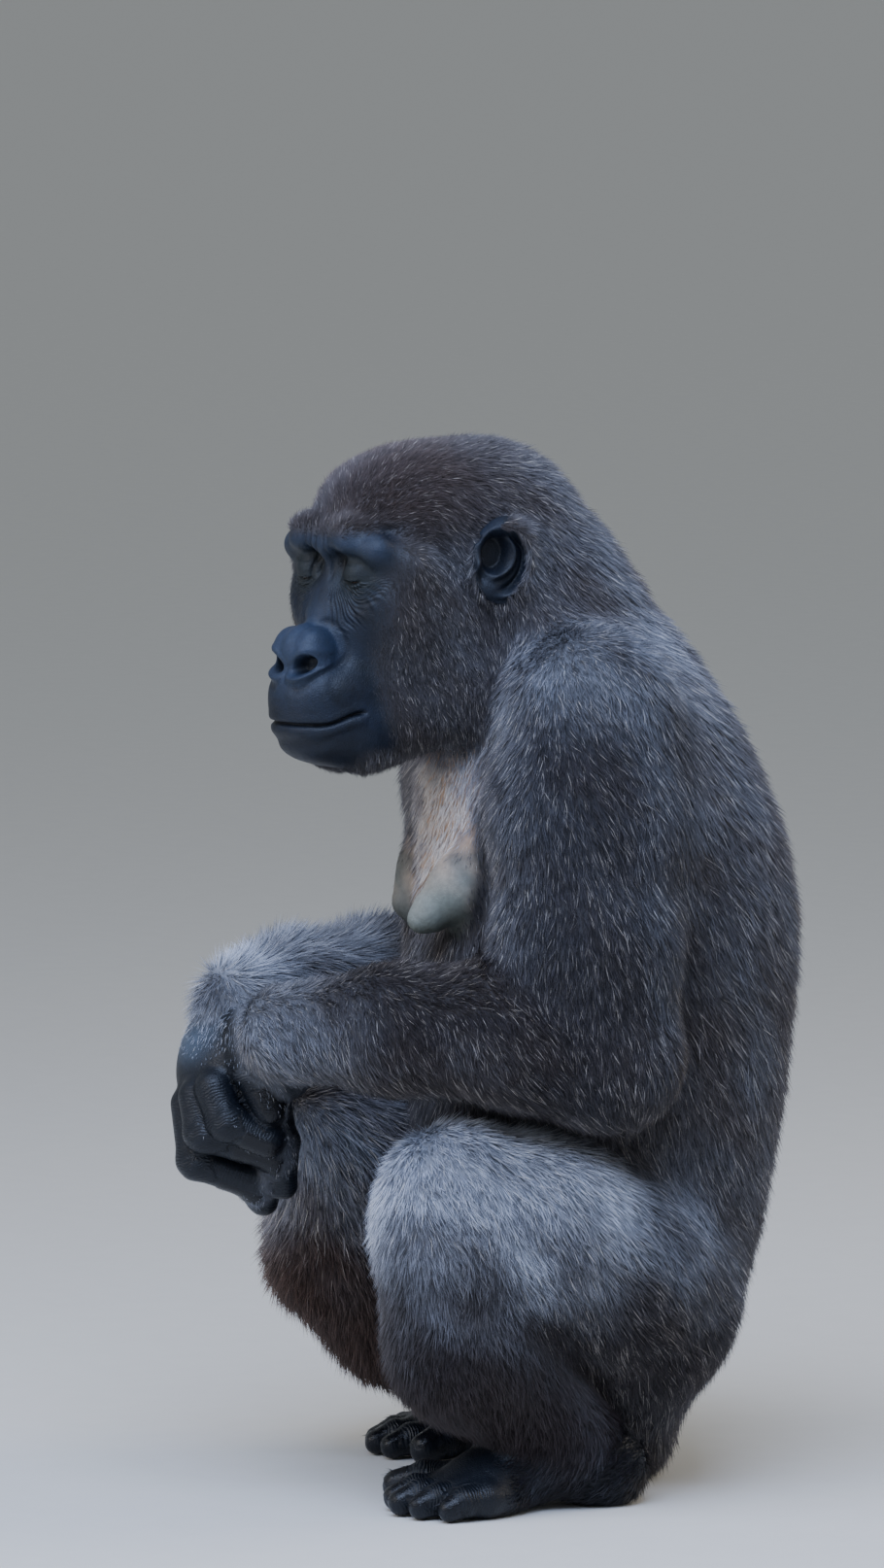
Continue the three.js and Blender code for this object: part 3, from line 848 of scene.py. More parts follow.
@dataclass
class Body:
    """Every shape of her flesh, and how they run into each other."""

    place: HeadFrame
    head: Head = field(default_factory=Head)
    trunk_coat: float = 10.0
    neck_coat: float = 6.0

    def __post_init__(self) -> None:
        """Sets out limbs, hands and feet from the joints they share."""
        elbow = {Side.LEFT: (202, 14, 386, 66), Side.RIGHT: (-196, 30, 396, 60)}
        wrist = {Side.LEFT: (60, -216, 398, 42), Side.RIGHT: (-30, -228, 414, 38)}
        knee = {Side.LEFT: (150, -96, 260, 76), Side.RIGHT: (-150, -76, 246, 86)}
        ankle = {Side.LEFT: (142, 0, 62, 46), Side.RIGHT: (-140, 84, 60, 46)}
        over = {
            Side.LEFT: [(160, 20, 668, 75), (180, 4, 580, 79), (193, 0, 480, 80)],
            Side.RIGHT: [(-160, 40, 668, 70), (-178, 50, 580, 70), (-188, 46, 480, 68)],
        }
        fore = {
            Side.LEFT: [(182, -52, 406, 68), (122, -142, 404, 57)],
            Side.RIGHT: [(-150, -62, 406, 58), (-85, -160, 412, 52)],
        }
        hip = {
            Side.LEFT: [(154, -20, 232, 84), (138, 42, 200, 88), (104, 80, 160, 88)],
            Side.RIGHT: [(-154, -20, 240, 86), (-138, 42, 196, 88), (-104, 80, 160, 88)],
        }
        calf = {
            Side.LEFT: [(150, -96, 218, 76), (148, -88, 140, 70)],
            Side.RIGHT: [(-150, -98, 178, 68), (-147, -44, 122, 62)],
        }
        self.upper_arm = {s: Limb(over[s] + [elbow[s]], [9, 9, 9, 9]) for s in Side}
        self.forearm = {s: Limb([elbow[s]] + fore[s] + [wrist[s]], [9, 9, 9, 4]) for s in Side}
        kneecap = (-118, -118, 288, 52)  # where the right forearm lies on the knee
        self.thigh = {Side.LEFT: Limb([knee[Side.LEFT]] + hip[Side.LEFT], [9, 9, 10, 10]),
                      Side.RIGHT: Limb([kneecap, knee[Side.RIGHT]] + hip[Side.RIGHT], [9, 9, 9, 10, 10])}
        self.shin = {s: Limb(calf[s] + [ankle[s]], [9, 9, 6]) for s in Side}
        self.foot = {s: Foot(ankle[s][:2], s) for s in Side}
        self.hand = {
            Side.LEFT: Hand((22, -214, 378), (48, 20, 40), (10, 28, 12), [
                [(30, -214, 412, 15), (-6, -206, 410, 13), (-34, -202, 396, 12)],
                [(-12, -212, 384, 16), (-52, -210, 358, 15), (-62, -210, 308, 13)],
                [(-10, -212, 362, 16), (-38, -208, 318, 15), (-38, -208, 262, 13)],
                [(0, -212, 346, 15), (-12, -208, 296, 14.5), (-12, -212, 246, 12.5)],
                [(16, -212, 338, 14), (12, -204, 300, 13), (12, -202, 262, 11.5)]]),
            Side.RIGHT: Hand((-20, -253, 374), (42, 19, 50), (-22, 0, 14), [
                [(12, -240, 396, 17), (24, -236, 360, 14), (36, -224, 328, 12.5)],
                [(10, -263, 346, 17), (22, -257, 320, 16), (34, -224, 304, 14)],
                [(-8, -271, 338, 17), (2, -269, 309, 17), (18, -216, 292, 14.5)],
                [(-28, -272, 329, 16), (-18, -269, 283, 16.5), (-4, -224, 264, 14)],
                [(-47, -266, 322, 14), (-42, -258, 282, 14), (-32, -212, 262, 12)]]),
        }
        self.breast = {
            Side.LEFT: [(80, -32, 552, 28), (66, -64, 514, 25), (57, -90, 491, 13), (55, -97, 486, 7)],
            Side.RIGHT: [(-72, -18, 552, 28), (-63, -46, 512, 25), (-57, -64, 491, 13), (-56, -70, 487, 7)],
        }
        torso = stack([
            (-30, 80, 40, 34), (12, 80, 80, 62), (62, 70, 118, 88), (103, 69, 146, 109),
            (185, 74, 168, 137), (268, 80, 178, 150), (350, 82, 188, 160), (474, 85, 200, 165),
            (557, 80, 196, 155), (598, 72, 188, 147), (639, 66, 174, 134), (680, 62, 150, 112),
            (720, 56, 116, 84), (752, 48, 78, 56)])
        nape = chain([(6, -14, 798, 82 - self.neck_coat), (4, 14, 736, 94 - self.neck_coat),
                      (0, 46, 664, 108 - self.neck_coat)], 30)
        shapes: list[Shape] = [
            drawn_in(torso, self.trunk_coat), nape, self.head.field(self.place),
            *[chain(self.breast[s], 16) for s in Side]]
        for s in Side:
            shapes += [self.upper_arm[s].field(), self.forearm[s].field(), self.hand[s].field()]
        for s in Side:
            shapes += [self.thigh[s].field(), self.shin[s].field(), self.foot[s].field()]
        self.shapes = shapes
        self.creases = [
            Creases(one.digits(), np.array(middle, float)) for one, middle in
            [(self.hand[s], self.hand[s].centre) for s in Side]
            + [(self.foot[s], (*self.foot[s].ankle, -60.0)) for s in Side]]

    def distances(self, p: Array) -> Array:
        """Distance to each zone's own shape, one row for each zone."""
        return np.stack([shape(p) for shape in self.shapes])

    def shares(self, d: Array) -> Array:
        """How far each point belongs to each zone: e to minus the distance over 9 mm, shared out."""
        shares = np.exp(-np.clip(d - d.min(0), 0, 200) / 9.0)
        return shares / shares.sum(0)

    def chest(self, p: Array) -> Array:
        """Share of the thinly haired skin from the throat down between the arms.

        Args:
            p: points, mm.

        Returns:
            The share at each point.
        """
        edge = np.abs(p[:, 0] - 18) + 13 * Ripple(26, 64).at(p)
        front = (1 - ramp(24, 100, edge)) * (1 - ramp(-32, 0, p[:, 1]))
        front *= ramp(470, 512, p[:, 2]) * (1 - ramp(604, 646, p[:, 2]))
        return front * (1 - self.beside_breast(p))

    def beside_breast(self, p: Array) -> Array:
        """0 where chest and breast are bare, 1 where the fur of her side laps over them."""
        return ramp(-8, 8, 0.342 * p[:, 0] + 0.94 * p[:, 1] + 31.0 - 0.18 * (p[:, 2] - 500.0))

    def markings(self, p: Array, shares: Array) -> Array:
        """Shares of grey with painted sky sheen, of rust and of brown at each point, the same for skin and
        coat.

        Args:
            p: points in the maker's frame.
            shares: zone shares at each.

        Returns:
            One row of three shares for each point.
        """
        q = self.place.inside(p)
        patch = 0.5 + 0.5 * np.clip(Ripple(70, 31).at(p), -1, 1)
        arm, fore, hand = (sum(shares[ARM[s][n]] for s in Side) for n in range(3))
        leg, shin = (sum(shares[LEG[s][n]] for s in Side) for n in range(2))
        head, nape, trunk = shares[Zone.HEAD], shares[Zone.NECK], shares[Zone.TRUNK]
        ragged = p[:, 2] + 20 * Ripple(58, 65).at(p)
        # painted highlight: the top of the knee, its front and the side towards her left made pale bluish
        # where light falls
        top_of_knee = ramp(135, 318, ragged) * mix(1.0, 0.45, ramp(-60, 60, p[:, 1])) * (leg + 0.6 * shin)
        top_of_knee *= mix(0.5, 1.0, ramp(-60, 60, p[:, 0]))
        # painted highlight on the front of the forearms and hands
        wrist = (1 - ramp(-250, -150, p[:, 1])) * (fore + hand)
        # painted highlight on the tops of the shoulders; the small shares after it are grey hair with a
        # little painted sheen
        shoulder = ramp(640, 710, p[:, 2]) * (arm + trunk)
        # towards the floor the shin gets less brown and a little rust: the darkening is painted shade
        low = 1 - ramp(60, 170, p[:, 2])
        grey_and_sky_sheen = 1.3 * top_of_knee + 0.25 * shoulder + 0.05 * arm + 0.11 * trunk + 0.12 * nape
        far_fore = shares[Zone.FOREARM_RIGHT]
        grey_and_sky_sheen += mix(0.34, 0.50, far_fore + shares[Zone.HAND_RIGHT]) * wrist
        # painted highlight along the top of the far forearm
        grey_and_sky_sheen += 0.70 * far_fore * ramp(420, 455, p[:, 2])
        grey_and_sky_sheen += 0.10 * head * ramp(-140, 0, -q[:, 2])
        far_leg = shares[Zone.THIGH_RIGHT] + shares[Zone.SHIN_RIGHT]
        before_shin = (1 - ramp(-190, -60, p[:, 1])) * (1 - ramp(140, 310, ragged))
        rust = far_leg * (0.16 + 0.26 * before_shin) + 0.12 * shin * low
        rust += 0.26 * head * ramp(5, 75, q[:, 2]) * ramp(-90, 60, q[:, 0])
        brown = 0.44 * (head + nape) + 0.40 * trunk + 0.14 * arm + 0.30 * fore + 0.24 * leg
        brown += 0.32 * shin * (1 - 0.4 * low) + 0.6 * far_leg
        chest = self.chest(p) * (trunk + nape + sum(shares[zone] for zone in BREASTS))
        spread = 0.55 + 0.9 * patch
        marks = np.stack([grey_and_sky_sheen * spread + 0.35 * chest, rust + 0.28 * chest,
                          brown * (1.45 - 0.6 * patch) + 0.5 * chest], 1)
        return np.clip(marks, 0, 1)

    def field(self, p: Array) -> Array:
        """Distance to the whole of her, limbs run into the trunk at joints and creased elsewhere.

        Args:
            p: points, mm.

        Returns:
            Distance in mm at each point.
        """
        d = self.distances(p)
        core = d[Zone.TRUNK]
        for zone, k in ((BREASTS[0], 14.0), (BREASTS[1], 14.0), (Zone.NECK, 40.0), (Zone.HEAD, 26.0)):
            core = smooth_min(core, d[zone], k)
        at_shoulder = mix(20.0, 64.0, ramp(430, 590, p[:, 2]))
        at_hip = mix(6.0, 34.0, ramp(10, 70, p[:, 1]))
        for limbs, k, at_joint in ((ARM, 24.0, at_shoulder), (LEG, 26.0, at_hip)):
            for upper, lower, end in limbs.values():
                limb = smooth_min(smooth_min(d[upper], d[lower], k), d[end], 18.0)
                core = smooth_min(core, limb, at_joint)
        return np.maximum(core, -p[:, 2])


# ---- Meshing a field ---------------------------------------------------------------------------
@dataclass
class Net:
    """A closed triangle mesh drawn over a field."""

    points: Array
    faces: Array

    @classmethod
    def over(cls, shape: Shape, lines: list[Array]) -> "Net":
        """Surface net: one point in each cell that the surface crosses, at the mean of the
        crossings of its edges, and a quad about each crossed edge.

        Args:
            shape: the field.
            lines: the grid's coordinates along X, Y and Z.

        Returns:
            The mesh, its quads cut along their shorter diagonal.
        """
        values = cls.sampled(shape, lines)
        cells = tuple(n - 1 for n in values.shape)
        total, count = np.zeros((math.prod(cells), 3)), np.zeros(math.prod(cells))
        quads = []
        for axis in range(3):
            first = [slice(None)] * 3
            second = [slice(None)] * 3
            first[axis], second[axis] = slice(0, -1), slice(1, None)
            low, high = values[tuple(first)], values[tuple(second)]
            at = np.stack(np.nonzero((low < 0) != (high < 0)), 1)
            a, b = low[tuple(at.T)], high[tuple(at.T)]
            point = np.stack([lines[n][at[:, n]] for n in range(3)], 1)
            step = lines[axis][at[:, axis] + 1] - lines[axis][at[:, axis]]
            point[:, axis] += step * a / (a - b)
            ring = []
            for du, dv in ((0, 0), (-1, 0), (-1, -1), (0, -1)):
                cell = at.copy()
                cell[:, (axis + 1) % 3] += du
                cell[:, (axis + 2) % 3] += dv
                ring.append(np.ravel_multi_index(tuple(cell.T), cells))
                count += np.bincount(ring[-1], minlength=len(count))
                for n in range(3):
                    total[:, n] += np.bincount(ring[-1], point[:, n], len(count))
            quad = np.stack(ring, 1)
            quads.append(np.where((a < 0)[:, None], quad, quad[:, ::-1]))
        quad = np.concatenate(quads)
        used, quad = np.unique(quad, return_inverse=True)
        points, quad = total[used] / count[used][:, None], quad.reshape(-1, 4)
        return cls(points, cls.halved(points, quad))

    @staticmethod
    def sampled(shape: Shape, lines: list[Array], every: int = 3) -> Array:
        """Field on the grid: worked out on every third line, and exactly only near the surface.

        Args:
            shape: the field.
            lines: the grid's lines along each axis.
            every: step of the coarse grid.

        Returns:
            Distance at each crossing.
        """
        coarse = [np.append(axis[:-1:every], axis[-1]) for axis in lines]
        grid = np.stack(np.meshgrid(*coarse, indexing="ij"), -1)
        values = shape(grid.reshape(-1, 3)).reshape(grid.shape[:3])
        for n in range(3):
            place = np.interp(lines[n], coarse[n], np.arange(len(coarse[n])))
            low = np.minimum(place.astype(int), len(coarse[n]) - 2)
            part = (place - low).reshape([-1 if m == n else 1 for m in range(3)])
            values = (np.take(values, low, n) * (1 - part) + np.take(values, low + 1, n) * part)
        reach = 1.6 * every * max(float(np.diff(axis).max()) for axis in lines)
        near = np.stack(np.nonzero(np.abs(values) < reach), 1)
        points = np.stack([lines[n][near[:, n]] for n in range(3)], 1)
        values[tuple(near.T)] = shape(points)
        return values

    @staticmethod
    def halved(points: Array, quad: Array) -> Array:
        """Quads cut into triangles along the shorter diagonal.

        Args:
            points: all points.
            quad: four point numbers a row.

        Returns:
            Three point numbers a row.
        """
        one = length(points[quad[:, 0]] - points[quad[:, 2]])
        two = length(points[quad[:, 1]] - points[quad[:, 3]])
        a, b = quad[:, [0, 1, 2, 0, 2, 3]], quad[:, [0, 1, 3, 1, 2, 3]]
        return np.where((one <= two)[:, None], a, b).reshape(-1, 3)

    def drawn_to(self, shape: Shape, rounds: int = 2, fixed: int = 0) -> None:
        """Moves the points after the fixed ones onto the surface by Newton's steps.

        Args:
            shape: the field.
            rounds: how many steps.
            fixed: how many points stay put.
        """
        p = self.points[fixed:]
        for _ in range(rounds):
            g = slope(shape, p)
            g2 = np.maximum(np.einsum("ij,ij->i", g, g), 0.25)
            p = p - np.clip(shape(p) / g2, -6, 6)[:, None] * g
        p[:, 2] = np.maximum(p[:, 2], 0.0)
        self.points[fixed:] = p

    def edges(self) -> tuple[Array, Array]:
        """Each edge once as two point numbers, and the edge number of each face's three sides.

        Returns:
            The edges and the sides.
        """
        sides = np.sort(self.faces[:, [0, 1, 1, 2, 2, 0]].reshape(-1, 2), 1)
        key, side = np.unique(sides[:, 0] * len(self.points) + sides[:, 1], return_inverse=True)
        return np.stack(np.divmod(key, len(self.points)), 1), side.reshape(-1, 3)

    def eased(self, shape: Shape, share: float, weight: Array | None = None) -> None:
        """Moves each point a share of the way to its neighbours' mean, and back on the surface.

        Args:
            shape: the field.
            share: how far, 0 to 1.
            weight: part of the share for each point.
        """
        edges, _ = self.edges()
        both = np.concatenate([edges, edges[:, ::-1]])
        count = np.bincount(both[:, 0], minlength=len(self.points))
        mean = np.stack([np.bincount(both[:, 0], self.points[both[:, 1], n], len(self.points))
                         for n in range(3)], 1) / count[:, None]
        amount = share if weight is None else share * weight[:, None]
        self.points = self.points + amount * (mean - self.points)
        self.drawn_to(shape, 1)

    def split(self, shape: Shape, target: Callable[[Array], Array]) -> int:
        """Halves every edge longer than the target there, and draws the new points to the field.

        Args:
            shape: the field.
            target: longest edge allowed at each point, mm.

        Returns:
            How many edges were halved.
        """
        edges, side = self.edges()
        a, b = self.points[edges[:, 0]], self.points[edges[:, 1]]
        middle = (a + b) / 2
        long = length(a - b) > target(middle)
        fixed = len(self.points)
        number = np.where(long, fixed + np.cumsum(long) - 1, -1)
        self.points = np.concatenate([self.points, middle[long]])
        m, v = number[side], self.faces
        cut = (m >= 0).sum(1)
        faces = [v[cut == 0]]
        first = np.argmax(m >= 0, 1)  # one side halved: turn it to come first
        v1, m1 = self.rolled(v, m, first, cut == 1)
        faces += [np.stack([v1[:, 0], m1[:, 0], v1[:, 2]], 1), np.stack([m1[:, 0], v1[:, 1], v1[:, 2]], 1)]
        whole = (np.argmin(m, 1) + 1) % 3  # two sides halved: the whole one comes last
        v2, m2 = self.rolled(v, m, whole, cut == 2)
        faces.append(np.stack([m2[:, 0], v2[:, 1], m2[:, 1]], 1))
        faces.append(self.halved(self.points, np.stack([v2[:, 0], m2[:, 0], m2[:, 1], v2[:, 2]], 1)))
        v3, m3 = v[cut == 3], m[cut == 3]
        for n in range(3):
            faces.append(np.stack([v3[:, n], m3[:, n], m3[:, n - 1]], 1))
        faces.append(m3)
        self.faces = np.concatenate(faces)
        self.drawn_to(shape, 2, fixed)
        return int(long.sum())

    @staticmethod
    def rolled(v: Array, m: Array, first: Array, chosen: Array) -> tuple[Array, Array]:
        """Corners and side points of the chosen faces, turned so that side number first leads."""
        turn = (first[chosen][:, None] + np.arange(3)) % 3
        return np.take_along_axis(v[chosen], turn, 1), np.take_along_axis(m[chosen], turn, 1)

    def normals(self) -> Array:
        """Unit normal at each point: the faces' area vectors summed about it.

        Returns:
            One row for each point.
        """
        p = self.points[self.faces]
        area = np.cross(p[:, 1] - p[:, 0], p[:, 2] - p[:, 0])
        total = np.stack([np.bincount(self.faces.ravel(), np.repeat(area[:, n], 3), len(self.points))
                          for n in range(3)], 1)
        return unit(total)


# ---- Finishes -------------------------------------------------------------------------------------
def linear(colour: str) -> tuple[float, float, float, float]:
    """An sRGB hex colour as linear light: ((c + 0.055) / 1.055)^2.4 above the toe, with alpha 1.

    Args:
        colour: such as #28282f.

    Returns:
        Red, green, blue and alpha.
    """
    parts = [int(colour[i:i + 2], 16) / 255 for i in (1, 3, 5)]
    lit = [c / 12.92 if c <= 0.04045 else ((c + 0.055) / 1.055) ** 2.4 for c in parts]
    return (lit[0], lit[1], lit[2], 1.0)


def add(tree: Tree, kind: str, inputs: dict | None = None, **settings: object) -> bpy.types.Node:
    """Adds a node to a tree with its settings, values and links.

    Args:
        tree: the node tree.
        kind: the node's type name after "ShaderNode".
        inputs: socket name or number to a value, or to the socket that feeds it.
        settings: the node's own properties.

    Returns:
        The node.
    """
    one = tree.nodes.new("ShaderNode" + kind)
    for name, value in settings.items():
        setattr(one, name, value)
    for key, value in (inputs or {}).items():
        if isinstance(value, bpy.types.NodeSocket):
            tree.links.new(value, one.inputs[key])
        else:
            one.inputs[key].default_value = value
    return one


def layered(tree: Tree, under: object, *layers: tuple[object, object]) -> bpy.types.NodeSocket:
    """Colour of a stack of layers.

    Args:
        tree: the node tree.
        under: the lowest colour, a value or a socket.
        layers: share and colour of each layer, the lowest first.

    Returns:
        The socket of the topmost mix.
    """
    for share, over in layers:
        under = add(tree, "Mix", {0: share, 6: under, 7: over}, data_type="RGBA").outputs[2]
    return under


def stored(tree: Tree, name: str) -> tuple[bpy.types.NodeSocket, ...]:
    """The three shares stored under a name at each point of the mesh."""
    mark = add(tree, "Attribute", attribute_name=name)
    return tuple(add(tree, "SeparateColor", {0: mark.outputs["Color"]}).outputs)


def coat_tint(tree: Tree) -> bpy.types.NodeSocket:
    """The coat's colour at each point, from the markings that skin and coat share, with the painted bluish
    sheen of light on top-facing hair.

    Args:
        tree: the node tree.

    Returns:
        The colour's socket.
    """
    grey_and_sky_sheen, rust, brown = stored(tree, "marking")
    # the top layer is grey hair with the painted bluish sheen of light
    return layered(tree, linear("#28282f"), (brown, linear("#534945")), (rust, linear("#6a4836")),
                   (grey_and_sky_sheen, linear("#adb2be")))


def fresh(name: str) -> tuple[bpy.types.Material, Tree, bpy.types.Node]:
    """An empty material with its tree and its one shader, joined to the output.

    Args:
        name: the material's name.

    Returns:
        Material, tree and shader.
    """
    material = bpy.data.materials.new(name)
    material.use_nodes = True
    tree = material.node_tree
    tree.nodes.clear()
    shader = add(tree, "BsdfPrincipled")
    add(tree, "OutputMaterial", {"Surface": shader.outputs[0]})
    return material, tree, shader


@dataclass(frozen=True)
class Hide:
    """Living skin of a dark ape, cast in tinted resin and waxed: soft gloss over fine folds.

    The face is slate, with a painted bluish highlight over the nose and brow and painted shade round the
    eyes and in the hollows; hands and feet are blacker and shinier, with a painted sheen on the back of the
    right hand; the breast is paler and matt, and the skin below the coat is a dull warm black.
    """

    face: str = "#121a28"
    face_dark: str = "#0d121a"
    # lit: painted highlight, a paler blue standing in for the sky's light on the nose and brow
    lit: str = "#35435a"
    # socket: painted shade, olive-dark skin round the eyes where the sockets lie in shade
    socket: str = "#1b2122"
    palm: str = "#11151c"
    # knuckle: painted sheen, a paler blue on the back of the right hand standing in for light on its gloss
    knuckle: str = "#444f5e"
    breast: str = "#7a827c"
    chest: str = "#bd9f85"
    nail: str = "#121317"
    fold_mm: float = 2.2  # distance between the finest folds
    pore_mm: float = 1.1

    def material(self) -> bpy.types.Material:
        """Builds it from the skin's attributes and patterns sized in real millimetres.

        Returns:
            The material.
        """
        material, tree, shader = fresh("gorilla_skin_cast_and_waxed")
        face, bare, breast = stored(tree, "zones")
        chest, nail, hollow = stored(tree, "extra")
        turns, depth, painted_light = stored(tree, "lines")
        bloom = add(tree, "Attribute", attribute_name="bloom").outputs["Fac"]
        place = add(tree, "TexCoord").outputs["Object"]
        blotch = add(tree, "TexNoise", {"Vector": place, "Scale": 28.0, "Detail": 4.0, "Roughness": 0.6})
        spots = add(tree, "TexNoise", {"Vector": place, "Scale": 230.0, "Detail": 2.0})
        fine = add(tree, "TexNoise", {"Vector": place, "Scale": 1 / (4 * self.pore_mm * MM), "Detail": 3.0})
        patch = add(tree, "MapRange", {0: blotch.outputs[0], 1: 0.35, 2: 0.68})
        # slate face with its blotches, the painted highlight over nose and brow, and the painted shade round
        # the eyes
        slate = layered(tree, linear(self.face), (patch.outputs[0], linear(self.face_dark)),
                        (bloom, linear(self.lit)), (painted_light, linear(self.socket)))
        # hands and feet, with the painted sheen on the back of the right hand
        hide_with_painted_sheen = layered(tree, linear(self.palm), (painted_light, linear(self.knuckle)))
        # skin under the coat: the coat's colour made darker, its painted sheen included
        under = add(tree, "VectorMath", {0: coat_tint(tree), "Scale": 0.55}, operation="SCALE")
        colour = layered(tree, under.outputs[0], (face, slate), (bare, hide_with_painted_sheen),
                         (chest, linear(self.chest)), (breast, linear(self.breast)),
                         (nail, linear(self.nail)))
        shade = add(tree, "MapRange", {0: spots.outputs[0], 1: 0.3, 2: 0.75, 3: 0.86, 4: 1.12})
        # painted shade: darker in nostrils, creases, ear bowls and the pocket above the inner eye
        shade_dim = add(tree, "MapRange", {0: hollow, 3: 1.0, 4: 0.25})
        dim = add(tree, "Math", {0: shade.outputs[0], 1: shade_dim.outputs[0]}, operation="MULTIPLY")
        tone = add(tree, "VectorMath", {0: colour, "Scale": dim.outputs[0]}, operation="SCALE")
        tree.links.new(tone.outputs[0], shader.inputs["Base Color"])
        self.relief(tree, shader, place, fine.outputs[0], turns, depth)
        self.gloss(tree, shader, fine.outputs[0], face, bare, nail)
        return material

    def relief(self, tree: Tree, shader: bpy.types.Node, *sockets: bpy.types.NodeSocket) -> None:
        """Cracks between small plates, pores in them, and waves along the stored folds.

        Args:
            tree: the node tree.
            shader: the node that takes the bumped normal.
            sockets: object place, pore noise, folds counted so far, and their depth.
        """
        place, fine, turns, depth = sockets
        plates = add(tree, "TexVoronoi", {"Vector": place, "Scale": 1 / (self.fold_mm * MM)},
                     feature="DISTANCE_TO_EDGE")
        crack = add(tree, "MapRange", {0: plates.outputs["Distance"], 1: 0.0, 2: 0.22})
        height = add(tree, "Math", {0: crack.outputs[0], 1: 0.35, 2: fine}, operation="MULTIPLY_ADD")
        phase = add(tree, "Math", {0: turns, 1: 2 * math.pi}, operation="MULTIPLY")
        wave = add(tree, "Math", {0: phase.outputs[0]}, operation="SINE")
        height = add(tree, "Math", {0: wave.outputs[0], 1: depth, 2: height.outputs[0]},
                     operation="MULTIPLY_ADD")
        bump = add(tree, "Bump", {"Strength": 0.6, "Distance": 0.0006, "Height": height.outputs[0]})
        tree.links.new(bump.outputs[0], shader.inputs["Normal"])

    @staticmethod
    def gloss(tree: Tree, shader: bpy.types.Node, *sockets: bpy.types.NodeSocket) -> None:
        """Dull under the coat, waxed on the face, shinier on hands and feet, and most on nails.

        Args:
            tree: the node tree.
            shader: the node that takes the roughness.
            sockets: pore noise, and the shares of face, bare hide and nail.
        """
        fine, face, bare, nail = sockets
        dull = add(tree, "MapRange", {0: face, 3: 0.62, 4: 0.50})
        shiny = add(tree, "Mix", {0: bare, 2: dull.outputs[0], 3: 0.36}, data_type="FLOAT")
        tips = add(tree, "Mix", {0: nail, 2: shiny.outputs[0], 3: 0.22}, data_type="FLOAT")
        worn = add(tree, "MapRange", {0: fine, 3: -0.08, 4: 0.10})
        rough = add(tree, "Math", {0: tips.outputs[0], 1: worn.outputs[0]}, operation="ADD")
        tree.links.new(rough.outputs[0], shader.inputs["Roughness"])
        shader.inputs["IOR"].default_value = 1.42
        shader.inputs["Specular IOR Level"].default_value = 0.4


@dataclass(frozen=True)
class Hair:
    """Guard hair, combed and set: dark at the root, each tuft's tip a little lighter, a few pale ones that
    also stand in for glints of light as a painted highlight, with a silky streak of light along it."""

    root: str = "#121114"
    pale: str = "#c2bab0"

    def material(self) -> bpy.types.Material:
        """Builds it from the tufts' attributes: marking, tone, and how far along the tuft.

        Returns:
            The material.
        """
        material, tree, shader = fresh("gorilla_hair_combed_and_set")
        tone, along = (add(tree, "Attribute", attribute_name=name).outputs["Fac"]
                       for name in ("tone", "along"))
        # pale tufts: pale hair, partly painted glints of light
        light = add(tree, "MapRange", {0: tone, 1: 0.86, 2: 1.2, 3: 0.0, 4: 1.0})
        colour = layered(tree, coat_tint(tree), (light.outputs[0], linear(self.pale)))
        shade = add(tree, "MapRange", {0: tone, 1: 0.0, 2: 0.85, 3: 0.30, 4: 1.5})
        tinted = add(tree, "VectorMath", {0: colour, "Scale": shade.outputs[0]}, operation="SCALE")
        rise = add(tree, "MapRange", {0: along, 1: 0.0, 2: 0.5, 3: 0.35, 4: 1.0})
        colour = layered(tree, linear(self.root), (rise.outputs[0], tinted.outputs[0]))
        tree.links.new(colour, shader.inputs["Base Color"])
        shader.inputs["Roughness"].default_value = 0.5
        shader.inputs["IOR"].default_value = 1.55
        shader.inputs["Specular IOR Level"].default_value = 0.28
        return material


@dataclass(frozen=True)
class Cornea:
    """Glass eye: a dark brown iris about a black pupil under a clear wet coat."""

    white: str = "#150e0c"
    iris: str = "#2b190f"
    edge: str = "#120b08"
    pupil: str = "#020202"

    def material(self) -> bpy.types.Material:
        """Builds it from the ball's own ring attribute, 0 at the pupil's middle.

        Returns:
            The material.
        """
        material, tree, shader = fresh("glass_eye_blown_and_painted")
        ring = add(tree, "Attribute", attribute_name="ring").outputs["Fac"]
        place = add(tree, "TexCoord").outputs["Object"]
        grain = add(tree, "TexNoise", {"Vector": place, "Scale": 900.0, "Detail": 3.0})
        rings = add(tree, "ValToRGB", {0: ring})
        stops = rings.color_ramp.elements
        stops[0].position, stops[0].color = 0.13, linear(self.pupil)
        stops[1].position, stops[1].color = 0.50, linear(self.white)
        for position, colour in ((0.17, self.iris), (0.36, self.iris), (0.43, self.edge)):
            stops.new(position).color = linear(colour)
        shade = add(tree, "MapRange", {0: grain.outputs[0], 3: 0.6, 4: 1.5})
        tone = add(tree, "VectorMath", {0: rings.outputs[0], "Scale": shade.outputs[0]}, operation="SCALE")
        tree.links.new(tone.outputs[0], shader.inputs["Base Color"])
        shader.inputs["Roughness"].default_value = 0.08
        shader.inputs["IOR"].default_value = 1.38
        shader.inputs["Coat Weight"].default_value = 1.0
        shader.inputs["Coat Roughness"].default_value = 0.03
        return material


@dataclass(frozen=True)
class Plaster:
    """Pale painted floor, rolled: matt, with the faint mottle of the roller."""

    colour: str = "#d9d7d2"

    def material(self) -> bpy.types.Material:
        """Builds it with a mottle about 30 mm across.

        Returns:
            The material.
        """
        material, tree, shader = fresh("floor_paint_rolled")
        place = add(tree, "TexCoord").outputs["Object"]
        mottle = add(tree, "TexNoise", {"Vector": place, "Scale": 30.0, "Detail": 3.0})
        shade = add(tree, "MapRange", {0: mottle.outputs[0], 3: 0.97, 4: 1.03})
        tone = add(tree, "VectorMath", {0: linear(self.colour)[:3], "Scale": shade.outputs[0]},
                   operation="SCALE")
        tree.links.new(tone.outputs[0], shader.inputs["Base Color"])
        shader.inputs["Roughness"].default_value = 0.85
        return material


